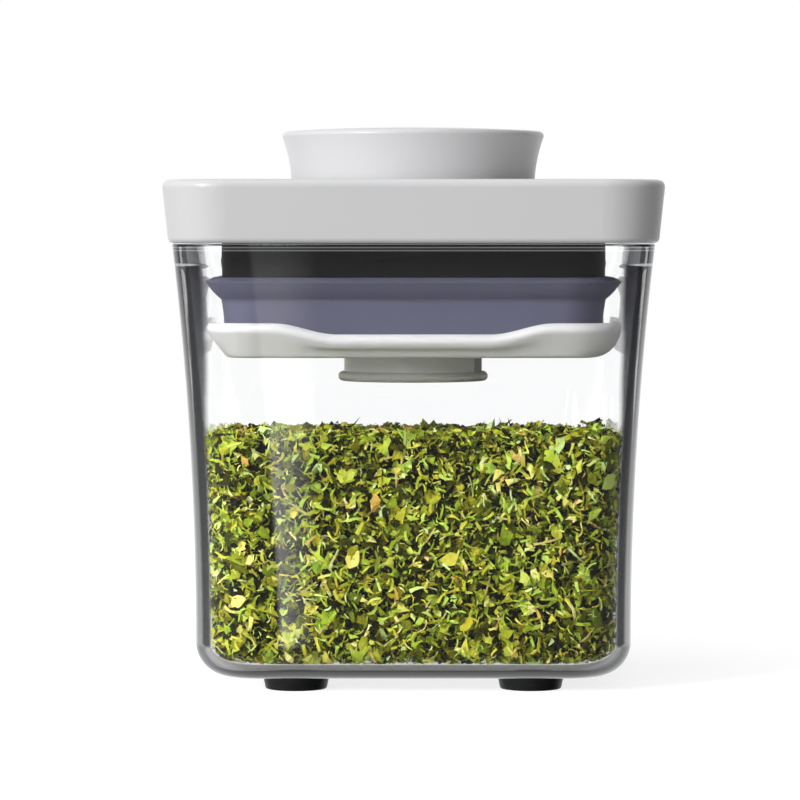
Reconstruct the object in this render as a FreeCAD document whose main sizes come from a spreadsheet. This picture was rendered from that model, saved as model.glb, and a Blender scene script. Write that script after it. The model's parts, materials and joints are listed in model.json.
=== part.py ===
import FreeCAD, Part
import math
import os
import Sketcher

# Herb keeper: a square clear jar on four feet, closed by a push-button lid. Pressing the button turns
# a cam ring, which draws the tray up and squeezes the gasket out towards the jar wall. Dried herbs fill
# the lower half of the jar, as one solid that leaves room for the accessory mount above them.
# Millimetres, +Z up. The origin is the centre of the footprint, on the surface the feet stand on.
# The front is -Y.

# ---------------------------------------------------------------------------------------------------
# Driving dimensions
# ---------------------------------------------------------------------------------------------------

SIZES = {
    # Feet
    "foot_height": 2.4,
    "foot_top_radius": 5.5,
    "foot_taper": 0.5,
    "foot_edge": 0.4,
    "foot_inset_x": 16.3,
    "foot_inset_y": 13.5,
    # Jar
    "jar_height": 70.4,
    "jar_base_half": 35.5,
    "jar_flare": 3.43,
    "jar_flare_power": 2.0,
    "jar_upright": 8.0,
    "jar_base_corner": 11.0,
    "jar_rim_corner": 8.0,
    "jar_wall": 2.2,
    "jar_floor": 2.2,
    "jar_base_round": 6.0,
    "jar_ledge_depth": 3.4,
    "jar_ledge_step": 0.6,
    # Dried herbs
    "herb_gap": 0.3,
    "herb_headroom": 7.2,
    # Lid frame
    "lid_gap": 0.1,
    "lid_height": 10.2,
    "lid_overhang": 0.64,
    "lid_draft": 1.08,
    "lid_corner": 9.5,
    "lid_wall": 2.4,
    "lid_deck": 2.2,
    "lid_top_round": 1.2,
    "lid_bottom_round": 0.9,
    "well_wall": 1.8,
    "well_gap": 0.4,
    "guide_gap": 0.4,
    "guide_land": 3.4,
    # Push button
    "button_travel": 7.5,
    "button_proud": 1.0,
    "skirt_wall": 1.6,
    "skirt_end_gap": 0.4,
    "button_flare": 1.6,
    "button_flare_height": 9.0,
    "button_edge_round": 0.8,
    "button_crown": 0.6,
    "button_roof": 1.6,
    # Plunger tube under the button
    "tube_wall": 1.7,
    "tube_end": 1.7,
    "tube_socket_depth": 1.5,
    "key_width": 2.0,
    "key_depth": 1.4,
    "key_length": 5.1,
    "pin_radius": 1.2,
    "pin_cover": 1.6,
    # Gasket carrier
    "neck_gap": 5.53,
    "neck_corner": 7.5,
    "neck_depth": 5.5,
    "neck_wall": 1.6,
    "carrier_floor": 1.6,
    "flange_thickness": 1.45,
    "flange_gap": 0.2,
    "collar_wall": 1.5,
    "collar_end_gap": 0.5,
    "key_end_gap": 0.3,
    "sleeve_wall": 2.1,
    "sleeve_end_gap": 0.6,
    "sleeve_rib_depth": 1.6,
    "sleeve_rib_height": 5.4,
    "locator_wall": 1.4,
    "locator_depth": 3.0,
    # Cam ring and its snap ring
    "cam_wall": 2.0,
    "cam_turn": 60.0,
    "cam_flange_reach": 1.8,
    "cam_flange_thickness": 1.0,
    "running_gap": 0.25,
    "thrust_gap": 0.1,
    "slot_gap": 0.15,
    "snap_ring_thickness": 0.8,
    "snap_ring_bite": 0.4,
    "snap_ring_gap_angle": 50.0,
    # Draw post
    "post_radius": 9.6,
    "post_wall": 2.0,
    "post_web": 1.6,
    "post_pin_height": 5.0,
    "post_head": 4.0,
    "draw_stroke": 2.0,
    "fit_gap": 0.05,
    "seal_section": 0.65,
    "seal_cover": 3.9,
    # Gasket
    "gasket_height": 9.8,
    "gasket_overhang": 0.2,
    "gasket_taper": 0.6,
    "lip_gap": 1.79,
    "gasket_lip_height": 3.6,
    "gasket_lip_edge": 0.7,
    "gasket_wall": 2.2,
    "soft_gap": 0.3,
    # Tray
    "tray_gap": 0.88,
    "tray_height": 5.7,
    "tray_slant": 3.2,
    "tray_round_end": 5.2,
    "tray_corner": 9.0,
    "tray_floor": 1.6,
    "tray_seat": 3.2,
    "tray_rim": 1.1,
    "dip_shoulder": 11.8,
    "dip_run": 10.0,
    "dip_depth": 1.8,
    "guide_cup_wall": 1.5,
    "guide_cup_height": 5.0,
    # Accessory mount
    "mount_neck_radius": 11.6,
    "mount_bead_reach": 1.0,
    "mount_neck_length": 3.0,
    "mount_bead_height": 1.6,
    "mount_wall": 1.7,
    "sink_cover": 0.2,
    "mount_window_width": 4.0,
    "mount_window_angle": 72.0,
    # Return spring and latch wire
    "spring_inner_gap": 1.15,
    "spring_outer_gap": 1.05,
    "spring_wire": 0.9,
    "spring_pitch": 3.3,
    "wire_radius": 0.35,
    "wire_bend": 0.8,
    "wire_foot_height": 3.6,
    "wire_cover": 0.3,
    "latch_angle": 45.0,
    "track_end": 0.5,
    "track_depth": 0.9,
    "track_width": 1.3,
    "track_island": 2.6,
    # Screws
    "screw_radius": 1.2,
    "screw_head_radius": 2.4,
    "screw_head_height": 1.5,
    "screw_length": 8.0,
    "screw_inset": 9.2,
    "boss_wall": 1.8,
    "tray_screw_radius": 1.5,
    "tray_screw_head_radius": 2.9,
    "tray_screw_length": 5.5,
    "pilot_end": 0.5,
    "recess_width": 0.7,
    "recess_length": 2.6,
    "recess_depth": 0.7,
}


class Length:
    """A value together with the sheet formula that gives it."""

    def __init__(self, value, formula):
        self.value = float(value)
        self.formula = formula

    def __add__(self, other):
        other = as_length(other)
        return Length(self.value + other.value, f"({self.formula} + {other.formula})")

    def __sub__(self, other):
        other = as_length(other)
        return Length(self.value - other.value, f"({self.formula} - {other.formula})")

    def __mul__(self, other):
        other = as_length(other)
        return Length(self.value * other.value, f"({self.formula} * {other.formula})")

    def __truediv__(self, other):
        other = as_length(other)
        return Length(self.value / other.value, f"({self.formula} / {other.formula})")

    def __pow__(self, other):
        other = as_length(other)
        return Length(self.value ** other.value, f"({self.formula} ^ {other.formula})")

    def __neg__(self):
        return Length(-self.value, f"(0 - {self.formula})")


def as_length(value):
    """Give a plain number the same form as a named size."""
    return value if isinstance(value, Length) else Length(value, f"{value}")


class Sizes:
    """The named sizes, each one read from its own cell of the sheet."""

    def __init__(self, sheet, values):
        for row, (alias, value) in enumerate(values.items(), start=1):
            sheet.set(f"A{row}", alias)
            sheet.set(f"B{row}", f"{value}")
            sheet.setAlias(f"B{row}", alias)
            setattr(self, alias, Length(value, f"{sheet.Name}.{alias}"))


doc = FreeCAD.newDocument("herb_keeper")
sheet = doc.addObject("Spreadsheet::Sheet", "Sizes")
size = Sizes(sheet, SIZES)
doc.recompute()

bodies = []
volumes = {}

# ---------------------------------------------------------------------------------------------------
# Sketch and feature helpers
# ---------------------------------------------------------------------------------------------------


def new_body(name):
    """Start the body of one piece; its label names the piece's file."""
    body = doc.addObject("PartDesign::Body", name)
    body.Label = name
    body.AllowCompound = True
    bodies.append(body)
    return body


def origin_item(body, role):
    """Find a plane or an axis of the body's own origin."""
    return [item for item in body.Origin.OriginFeatures if item.Role == role][0]


def new_sketch(body, name, role="XY_Plane", offset=0, turn=None):
    """Attach a sketch to an origin plane, turned about its vertical and offset along its normal."""
    sketch = body.newObject("Sketcher::SketchObject", name)
    sketch.AttachmentSupport = [(origin_item(body, role), "")]
    sketch.MapMode = "FlatFace"
    offset = as_length(offset)
    angle = turn.value if turn else 0
    rotation = FreeCAD.Rotation(FreeCAD.Vector(0, 1, 0), angle)
    shift = rotation.multVec(FreeCAD.Vector(0, 0, offset.value))
    sketch.AttachmentOffset = FreeCAD.Placement(shift, rotation)
    if turn:
        sketch.setExpression("AttachmentOffset.Base.x", f"{offset.formula} * sin({turn.formula})")
        sketch.setExpression("AttachmentOffset.Base.z", f"{offset.formula} * cos({turn.formula})")
        sketch.setExpression("AttachmentOffset.Rotation.Angle", turn.formula)
    else:
        sketch.setExpression("AttachmentOffset.Base.z", offset.formula)
    return sketch


def bind_point(sketch, edge, end, x, y):
    """Tie one end of an edge to its distances from the sketch's origin."""
    for kind, distance in (("DistanceX", as_length(x)), ("DistanceY", as_length(y))):
        index = sketch.addConstraint(Sketcher.Constraint(kind, -1, 1, edge, end, distance.value))
        sketch.setExpression(f"Constraints[{index}]", distance.formula)


def bind_radius(sketch, edge, radius):
    """Tie the radius of an arc or a circle."""
    index = sketch.addConstraint(Sketcher.Constraint("Radius", edge, radius.value))
    sketch.setExpression(f"Constraints[{index}]", radius.formula)


def vector(x, y):
    return FreeCAD.Vector(as_length(x).value, as_length(y).value, 0)


def bulged_middle(start, end, radius, left):
    """The middle of the arc of this radius from start to end that bulges to its left or right."""
    chord = end - start
    sag = radius - math.sqrt(radius ** 2 - chord.Length ** 2 / 4)
    side = FreeCAD.Vector(-chord.y, chord.x, 0).normalize()
    return (start + end) * 0.5 + side * (sag if left else -sag)


def outline(sketch, corners, closed=True):
    """Draw a loop, or an open path, through the corners.

    A corner is (x, y), or (x, y, radius, left) where an arc leads to it from the corner before.
    """
    for index, corner in enumerate(corners):
        if index == 0 and not closed:
            continue
        previous = corners[index - 1]
        start = vector(*previous[:2])
        end = vector(*corner[:2])
        if len(corner) == 2:
            edge = sketch.addGeometry(Part.LineSegment(start, end))
            ends = (1, 2)
        else:
            middle = bulged_middle(start, end, corner[2].value, corner[3])
            edge = sketch.addGeometry(Part.Arc(start, middle, end))
            bind_radius(sketch, edge, corner[2])
            begins_here = sketch.getPoint(edge, 1).distanceToPoint(start) < 1e-6
            ends = (1, 2) if begins_here else (2, 1)
        bind_point(sketch, edge, ends[0], *previous[:2])
        bind_point(sketch, edge, ends[1], *corner[:2])


def rounded_rectangle(sketch, left, right, front, back, corner):
    """Four lines joined by four tangent corner arcs."""
    corner = as_length(corner)
    arc_centres = [
        (right - corner, back - corner),
        (left + corner, back - corner),
        (left + corner, front + corner),
        (right - corner, front + corner),
    ]
    arcs = []
    for index, centre in enumerate(arc_centres):
        circle = Part.Circle(vector(*centre), FreeCAD.Vector(0, 0, 1), corner.value)
        start = index * math.pi / 2
        arcs.append(sketch.addGeometry(Part.ArcOfCircle(circle, start, start + math.pi / 2)))
        bind_point(sketch, arcs[-1], 3, *centre)
        bind_radius(sketch, arcs[-1], corner)
    for index, arc in enumerate(arcs):
        following = arcs[(index + 1) % 4]
        line = Part.LineSegment(sketch.getPoint(arc, 2), sketch.getPoint(following, 1))
        edge = sketch.addGeometry(line)
        sketch.addConstraint(Sketcher.Constraint("Tangent", arc, 2, edge, 1))
        sketch.addConstraint(Sketcher.Constraint("Tangent", edge, 2, following, 1))


def rounded_square(body, name, height, half, corner):
    """A sketch of a square with rounded corners, centred on the axis."""
    sketch = new_sketch(body, name, offset=height)
    rounded_rectangle(sketch, -half, half, -half, half, corner)
    return sketch


def circle(sketch, radius, x=0, y=0):
    """Add a circle to a sketch."""
    radius = as_length(radius)
    edge = sketch.addGeometry(Part.Circle(vector(x, y), FreeCAD.Vector(0, 0, 1), radius.value))
    bind_point(sketch, edge, 3, x, y)
    bind_radius(sketch, edge, radius)


def settle(body, feature, adds):
    """Recompute, and make sure that the feature added or took away material."""
    body.Tip = feature
    doc.recompute()
    volume = feature.Shape.Volume
    change = volume - volumes.get(body.Label, 0.0)
    if (change if adds else -change) <= 1e-3:
        raise RuntimeError(f"{body.Label}: {feature.Name} changed nothing")
    volumes[body.Label] = volume
    return feature


def new_feature(body, kind, name, sketch):
    feature = body.newObject(f"PartDesign::{kind}", name)
    feature.Profile = sketch
    sketch.Visibility = False
    return feature


def pad(body, name, sketch, length, down=False, midplane=False, spread=None):
    """Thicken a sketch along its normal; spread is how much further out its far end reaches."""
    length = as_length(length)
    feature = new_feature(body, "Pad", name, sketch)
    feature.Length = length.value
    feature.setExpression("Length", length.formula)
    if spread:
        feature.TaperAngle = math.degrees(math.atan(spread.value / length.value))
        feature.setExpression("TaperAngle", f"atan({spread.formula} / {length.formula})")
    feature.Reversed = down
    feature.Midplane = midplane
    return settle(body, feature, adds=True)


def pocket(body, name, sketch, length, up=False, midplane=False):
    """Cut a sketch's shape to a depth, against its normal unless up is set."""
    length = as_length(length)
    feature = new_feature(body, "Pocket", name, sketch)
    feature.Length = length.value
    feature.setExpression("Length", length.formula)
    feature.Reversed = up
    feature.Midplane = midplane
    return settle(body, feature, adds=False)


def turned(body, name, sketch, adds=True):
    """Turn a sketch round the vertical axis, to add a Revolution or cut a Groove."""
    feature = new_feature(body, "Revolution" if adds else "Groove", name, sketch)
    feature.ReferenceAxis = (sketch, ["V_Axis"])
    feature.Angle = 360
    return settle(body, feature, adds)


def loft(body, name, sketches, adds=True, ruled=False):
    """Join a stack of sketches into one form."""
    feature = new_feature(body, "AdditiveLoft" if adds else "SubtractiveLoft", name, sketches[0])
    feature.Sections = sketches[1:]
    feature.Ruled = ruled
    return settle(body, feature, adds)


def round_pattern(body, name, feature, count, adds):
    """Repeat a feature evenly round the vertical axis."""
    pattern = body.newObject("PartDesign::PolarPattern", name)
    pattern.Originals = [feature]
    pattern.Axis = (origin_item(body, "Z_Axis"), [""])
    pattern.Angle = 360
    pattern.Occurrences = count
    return settle(body, pattern, adds)


def round_edges(body, name, radius, chosen):
    """Fillet the edges for which chosen(edge) is true."""
    base = body.Tip
    names = [f"Edge{i}" for i, edge in enumerate(base.Shape.Edges, start=1) if chosen(edge)]
    if not names:
        raise RuntimeError(f"{body.Label}: no edge for {name}")
    feature = body.newObject("PartDesign::Fillet", name)
    feature.Base = (base, names)
    feature.Radius = radius.value
    feature.setExpression("Radius", radius.formula)
    body.Tip = feature
    doc.recompute()
    volumes[body.Label] = feature.Shape.Volume
    return feature


def level_edge(height):
    """Choose the edges whose ends and middle lie at a height."""

    def chosen(edge):
        first, last = edge.ParameterRange
        points = [edge.valueAt(first + (last - first) * share) for share in (0, 0.5, 1)]
        return all(abs(point.z - height.value) < 1e-3 for point in points)

    return chosen


def ring(body, name, bottom, height, inner, outer):
    """Add a plain ring about the vertical axis."""
    sketch = new_sketch(body, f"{name}_outline", offset=bottom)
    circle(sketch, outer)
    circle(sketch, inner)
    return pad(body, name, sketch, height)


def bar_sketch(body, name, role, along, bottom, top, half_width, offset=0, turn=None):
    """A rectangle centred at a distance along the sketch's horizontal axis."""
    sketch = new_sketch(body, name, role, offset, turn)
    left = as_length(along) - half_width
    right = as_length(along) + half_width
    outline(sketch, [(left, bottom), (right, bottom), (right, top), (left, top)])
    return sketch


# ---------------------------------------------------------------------------------------------------
# Heights and radii that several pieces share
# ---------------------------------------------------------------------------------------------------

jar_base = size.foot_height
jar_rim = jar_base + size.jar_height
jar_rim_half = size.jar_base_half + size.jar_flare
jar_upright_top = jar_base + size.jar_upright
foot_x = size.jar_base_half - size.foot_inset_x
foot_y = size.jar_base_half - size.foot_inset_y

lid_bottom = jar_rim + size.lid_gap
lid_top = lid_bottom + size.lid_height
lid_bottom_half = jar_rim_half + size.lid_overhang
lid_top_half = lid_bottom_half + size.lid_draft
lid_inner_half = lid_bottom_half - size.lid_wall
deck_underside = lid_top - size.lid_deck
button_rim = lid_top + size.button_travel + size.button_proud
button_underside = button_rim - size.button_roof

neck_half = jar_rim_half - size.jar_wall - size.neck_gap
carrier_bottom = lid_bottom - size.neck_depth
carrier_floor_top = carrier_bottom + size.carrier_floor
flange_top = lid_bottom + size.flange_thickness
screw_place = neck_half - size.screw_inset

cam_inner_radius = size.post_radius + size.running_gap + size.slot_gap
cam_outer_radius = cam_inner_radius + size.cam_wall
cam_bottom = carrier_floor_top + size.thrust_gap
cam_flange_top = cam_bottom + size.cam_flange_thickness
collar_top = button_underside - size.tube_socket_depth - size.button_travel - size.collar_end_gap
wire_tip = collar_top - size.wire_cover
tube_bottom = wire_tip - size.slot_gap - size.track_width / 2 - size.track_end
tube_length = button_underside - tube_bottom
button_pin = tube_bottom + size.tube_end
cam_height = button_pin + size.pin_cover - cam_bottom
tube_inner_radius = cam_outer_radius + size.running_gap
tube_outer_radius = tube_inner_radius + size.tube_wall
collar_inner_radius = tube_outer_radius + size.running_gap
collar_outer_radius = collar_inner_radius + size.collar_wall

spring_radius = collar_outer_radius + size.spring_inner_gap + size.spring_wire / 2
skirt_inner_radius = spring_radius + size.spring_wire / 2 + size.spring_outer_gap
skirt_radius = skirt_inner_radius + size.skirt_wall
skirt_bottom = carrier_floor_top + size.button_travel + size.skirt_end_gap
button_flare_radius = skirt_radius + size.button_flare
well_radius = button_flare_radius + size.well_gap
guide_radius = skirt_radius + size.guide_gap

gasket_half = neck_half + size.gasket_overhang
gasket_bottom = carrier_bottom - size.gasket_height
tray_bottom = gasket_bottom - size.tray_seat
tray_floor_top = tray_bottom + size.tray_floor
tray_top = tray_bottom + size.tray_height
post_pin = carrier_floor_top + size.post_pin_height
post_top = post_pin + size.post_head
sleeve_inner_radius = size.post_radius + size.running_gap
sleeve_outer_radius = sleeve_inner_radius + size.sleeve_wall
sleeve_bottom = tray_floor_top + size.draw_stroke + size.sleeve_end_gap
seal_middle = sleeve_bottom + size.seal_cover
mount_web = size.tray_screw_head_radius - size.tray_screw_radius + size.sink_cover
mount_bead_radius = size.mount_neck_radius + size.mount_bead_reach
mount_neck_bottom = tray_bottom - size.mount_neck_length
mount_bottom = mount_neck_bottom - size.mount_bead_height
herb_top = mount_bottom - size.herb_headroom


def jar_half_at(share):
    """The jar's outer half width at a share of the way from the top of its upright part to its rim."""
    return size.jar_base_half + size.jar_flare * as_length(share) ** size.jar_flare_power


def jar_share(height):
    """The share of the way from the top of the jar's upright part to its rim that a height lies at."""
    return (height - jar_upright_top) / (jar_rim - jar_upright_top)


def jar_inside_half(height):
    """Half the width inside the jar at a height in its flared part."""
    return jar_half_at(jar_share(height)) - size.jar_wall


tray_half = jar_inside_half(tray_top) - size.tray_gap
lip_edge = carrier_bottom - size.gasket_lip_edge
lip_reach = jar_inside_half(lip_edge) - size.lip_gap - gasket_half

# ---------------------------------------------------------------------------------------------------
# Jar and feet
# ---------------------------------------------------------------------------------------------------

JAR_SECTIONS = 6


def jar_section(body, name, share, inset):
    """A level of the jar: upright low down, then flared towards the rim, inset by a wall if inside."""
    height = jar_upright_top + (jar_rim - jar_upright_top) * share
    half = jar_half_at(share) - inset
    corner = size.jar_base_corner + (size.jar_rim_corner - size.jar_base_corner) * share - inset
    return rounded_square(body, name, height, half, corner)


def jar_form(body, name, bottom, top, inset, adds):
    """Add a form that follows the jar's walls at an inset between two heights, or cut it out."""
    half = size.jar_base_half - inset
    upright = rounded_square(body, f"{name}_base", bottom, half, size.jar_base_corner - inset)
    height = jar_upright_top - bottom
    if adds:
        pad(body, f"{name}_upright", upright, height)
    else:
        pocket(body, f"{name}_upright", upright, height, up=True)
    shares = [jar_share(top) * (index / (JAR_SECTIONS - 1)) for index in range(JAR_SECTIONS)]
    levels = [jar_section(body, f"{name}_{index}", share, inset) for index, share in enumerate(shares)]
    loft(body, f"{name}_flare", levels, adds)


def make_jar():
    body = new_body("jar")
    floor_top = jar_base + size.jar_floor
    jar_form(body, "outer", jar_base, jar_rim, as_length(0), adds=True)
    round_edges(body, "base_round", size.jar_base_round, level_edge(jar_base))
    jar_form(body, "inner", floor_top, jar_rim, size.jar_wall, adds=False)
    round_edges(body, "floor_round", size.jar_base_round - size.jar_wall, level_edge(floor_top))
    step_half = jar_rim_half - size.jar_wall + size.jar_ledge_step
    step_corner = size.jar_rim_corner - size.jar_wall + size.jar_ledge_step
    step = rounded_square(body, "rim_step_outline", jar_rim, step_half, step_corner)
    pocket(body, "rim_step", step, size.jar_ledge_depth)


def make_herb_fill():
    """The dried herbs: one solid that rests on the jar's floor and stays just clear of its walls."""
    body = new_body("herb_fill")
    floor_top = jar_base + size.jar_floor
    jar_form(body, "herbs", floor_top, herb_top, size.jar_wall + size.herb_gap, adds=True)
    round_edges(body, "herb_round", size.jar_base_round - size.jar_wall, level_edge(floor_top))


def make_foot(name, x_side, y_side):
    body = new_body(name)
    sole = new_sketch(body, "sole")
    circle(sole, size.foot_top_radius - size.foot_taper, foot_x * x_side, foot_y * y_side)
    pad(body, "cone", sole, size.foot_height, spread=size.foot_taper)
    round_edges(body, "sole_edge", size.foot_edge, level_edge(as_length(0)))


# ---------------------------------------------------------------------------------------------------
# Lid frame
# ---------------------------------------------------------------------------------------------------


def make_lid_frame():
    body = new_body("lid_frame")
    base = rounded_square(body, "base", lid_bottom, lid_bottom_half, size.lid_corner)
    pad(body, "block", base, size.lid_height, spread=size.lid_draft)
    round_edges(body, "top_round", size.lid_top_round, level_edge(lid_top))
    round_edges(body, "bottom_round", size.lid_bottom_round, level_edge(lid_bottom))
    hollow_corner = size.lid_corner - size.lid_wall
    hollow = rounded_square(body, "hollow_outline", lid_bottom, lid_inner_half, hollow_corner)
    pocket(body, "hollow", hollow, size.lid_height - size.lid_deck, up=True)
    wall_bottom = flange_top + size.flange_gap
    wall = new_sketch(body, "well_wall_outline", offset=wall_bottom)
    circle(wall, well_radius + size.well_wall)
    pad(body, "well_wall", wall, deck_underside - wall_bottom)
    well = new_sketch(body, "well_outline", offset=lid_top)
    circle(well, well_radius)
    pocket(body, "well", well, lid_top - wall_bottom - size.guide_land)
    bore = new_sketch(body, "guide_outline", offset=lid_top)
    circle(bore, guide_radius)
    pocket(body, "guide", bore, size.lid_height)
    boss = new_sketch(body, "boss_outline", offset=carrier_floor_top)
    circle(boss, size.screw_radius + size.boss_wall, screw_place, screw_place)
    first = pad(body, "boss", boss, deck_underside - carrier_floor_top)
    round_pattern(body, "bosses", first, 4, adds=True)
    pilot = new_sketch(body, "pilot_outline", offset=carrier_floor_top)
    circle(pilot, size.screw_radius + size.fit_gap, screw_place, screw_place)
    first = pocket(body, "pilot", pilot, size.screw_length, up=True)
    round_pattern(body, "pilots", first, 4, adds=False)


# ---------------------------------------------------------------------------------------------------
# Gasket carrier: the dark plate that closes the lid from below and holds the mechanism
# ---------------------------------------------------------------------------------------------------


def make_gasket_carrier():
    body = new_body("gasket_carrier")
    flange_half = lid_inner_half - size.flange_gap
    flange_corner = size.lid_corner - size.lid_wall - size.flange_gap
    flange = rounded_square(body, "flange_outline", lid_bottom, flange_half, flange_corner)
    pad(body, "flange", flange, size.flange_thickness)
    neck = rounded_square(body, "neck_outline", carrier_bottom, neck_half, size.neck_corner)
    pad(body, "neck", neck, size.neck_depth)
    inside_half = neck_half - size.neck_wall
    inside_corner = size.neck_corner - size.neck_wall
    inside = rounded_square(body, "inside_outline", flange_top, inside_half, inside_corner)
    pocket(body, "inside", inside, flange_top - carrier_floor_top)

    locator_half = gasket_half - size.gasket_taper - size.gasket_wall - size.soft_gap
    locator_corner = size.neck_corner - size.gasket_wall
    locator = rounded_square(body, "locator_outline", carrier_bottom, locator_half, locator_corner)
    rounded_rectangle(
        locator,
        size.locator_wall - locator_half,
        locator_half - size.locator_wall,
        size.locator_wall - locator_half,
        locator_half - size.locator_wall,
        locator_corner - size.locator_wall,
    )
    pad(body, "locator", locator, size.locator_depth, down=True)

    sleeve = new_sketch(body, "sleeve_outline", offset=sleeve_bottom)
    circle(sleeve, sleeve_outer_radius)
    pad(body, "sleeve", sleeve, carrier_floor_top - sleeve_bottom)
    rib = new_sketch(body, "sleeve_rib_outline", offset=sleeve_bottom)
    rib_reach = sleeve_outer_radius + size.sleeve_rib_depth
    half_key = size.key_width / 2
    corners = [(-rib_reach, -half_key), (rib_reach, -half_key), (rib_reach, half_key)]
    outline(rib, corners + [(-rib_reach, half_key)])
    pad(body, "sleeve_ribs", rib, size.sleeve_rib_height)
    collar_height = collar_top - carrier_floor_top
    ring(body, "collar", carrier_floor_top, collar_height, collar_inner_radius, collar_outer_radius)
    bore = new_sketch(body, "bore_outline", offset=carrier_floor_top)
    circle(bore, sleeve_inner_radius)
    pocket(body, "bore", bore, carrier_floor_top - sleeve_bottom)

    slot_bottom = tube_bottom - size.button_travel - size.key_end_gap
    slot = new_sketch(body, "key_slot_outline", offset=slot_bottom)
    slot_half = half_key + size.slot_gap
    outline(
        slot,
        [
            (-slot_half, -collar_outer_radius - 1),
            (slot_half, -collar_outer_radius - 1),
            (slot_half, collar_outer_radius + 1),
            (-slot_half, collar_outer_radius + 1),
        ],
    )
    pocket(body, "key_slots", slot, collar_height, up=True)
    groove_bottom = cam_flange_top + size.thrust_gap
    groove = new_sketch(body, "snap_groove_outline", "XZ_Plane")
    groove_radius = collar_inner_radius + size.snap_ring_bite + size.thrust_gap
    groove_top = groove_bottom + size.snap_ring_thickness + size.thrust_gap * 2
    outline(
        groove,
        [
            (tube_outer_radius, groove_bottom),
            (groove_radius, groove_bottom),
            (groove_radius, groove_top),
            (tube_outer_radius, groove_top),
        ],
    )
    turned(body, "snap_groove", groove, adds=False)

    notch_half = size.wire_radius + size.slot_gap
    across = track_channel()
    foot_hole = new_sketch(body, "wire_hole_outline", "YZ_Plane", collar_outer_radius + 1, size.latch_angle)
    circle(foot_hole, notch_half, across, carrier_floor_top + size.wire_foot_height)
    pocket(body, "wire_hole", foot_hole, size.collar_wall + 2)
    notch_bottom = wire_tip - notch_half
    notch = bar_sketch(body, "wire_notch_outline", "YZ_Plane", across, notch_bottom, collar_top + 1,
                       notch_half, collar_outer_radius + 1, size.latch_angle)
    pocket(body, "wire_notch", notch, size.collar_wall + 2)
    hole = new_sketch(body, "screw_hole_outline", offset=carrier_floor_top)
    circle(hole, size.screw_radius + size.slot_gap, screw_place, screw_place)
    first = pocket(body, "screw_hole", hole, size.carrier_floor)
    round_pattern(body, "screw_holes", first, 4, adds=False)


def track_channel():
    """How far the latch track's channel, where the wire runs, lies from the middle of the track."""
    return -(size.track_island + size.track_width) / 2


def make_cam_retainer():
    """The internal snap ring that keeps the cam ring down on the carrier."""
    body = new_body("cam_retainer")
    bottom = cam_flange_top + size.thrust_gap * 2
    outer = collar_inner_radius + size.snap_ring_bite
    ring(body, "snap_ring", bottom, size.snap_ring_thickness, tube_inner_radius, outer)
    gap = new_sketch(body, "gap_outline", offset=bottom)
    reach = outer + 1
    half_angle = size.snap_ring_gap_angle / 2
    cosine = Length(math.cos(math.radians(half_angle.value)), f"cos({half_angle.formula})")
    sine = Length(math.sin(math.radians(half_angle.value)), f"sin({half_angle.formula})")
    outline(gap, [(0, 0), (reach * cosine, -(reach * sine)), (reach, 0), (reach * cosine, reach * sine)])
    pocket(body, "gap", gap, size.snap_ring_thickness, up=True)


# ---------------------------------------------------------------------------------------------------
# Push button, plunger tube and cam ring
# ---------------------------------------------------------------------------------------------------


def make_button_cap():
    body = new_body("button_cap")
    profile = new_sketch(body, "profile", "XZ_Plane")
    flare_top = button_rim - size.button_edge_round
    flare_bottom = flare_top - size.button_flare_height
    flare_arc = (size.button_flare_height ** 2 + size.button_flare ** 2) / (size.button_flare * 2)
    crown_reach = button_flare_radius - size.button_edge_round
    crown_arc = (crown_reach ** 2 + size.button_crown ** 2) / (size.button_crown * 2)
    outline(
        profile,
        [
            (0, button_underside),
            (skirt_inner_radius, button_underside),
            (skirt_inner_radius, skirt_bottom),
            (skirt_radius, skirt_bottom),
            (skirt_radius, flare_bottom),
            (button_flare_radius, flare_top, flare_arc, True),
            (crown_reach, button_rim, size.button_edge_round, False),
            (0, button_rim + size.button_crown, crown_arc, False),
        ],
    )
    turned(body, "shell", profile)
    socket_inner = tube_outer_radius + size.fit_gap
    socket_bottom = button_underside - size.tube_socket_depth
    socket_outer = socket_inner + size.skirt_wall
    ring(body, "tube_socket", socket_bottom, size.tube_socket_depth, socket_inner, socket_outer)


def make_button_plunger():
    """The tube under the button, with two pins inside it and two guide keys outside."""
    body = new_body("button_plunger")
    tube = new_sketch(body, "tube_outline", offset=tube_bottom)
    circle(tube, tube_outer_radius)
    pad(body, "tube", tube, tube_length)
    keys = new_sketch(body, "keys_outline", offset=tube_bottom)
    reach = tube_outer_radius + size.key_depth
    half_key = size.key_width / 2
    outline(keys, [(-half_key, -reach), (half_key, -reach), (half_key, reach), (-half_key, reach)])
    pad(body, "keys", keys, size.key_length)
    bore = new_sketch(body, "bore_outline", offset=button_underside)
    circle(bore, tube_inner_radius)
    pocket(body, "bore", bore, tube_length)
    pins = new_sketch(body, "pins_outline", "YZ_Plane")
    circle(pins, size.pin_radius, 0, button_pin)
    pad(body, "pins", pins, (tube_inner_radius + size.tube_wall / 2) * 2, midplane=True)
    pin_gap = new_sketch(body, "pin_gap_outline", offset=button_pin + size.pin_radius)
    circle(pin_gap, cam_inner_radius + size.running_gap)
    pocket(body, "pin_gap", pin_gap, size.pin_radius * 2)
    make_latch_track(body)


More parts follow.
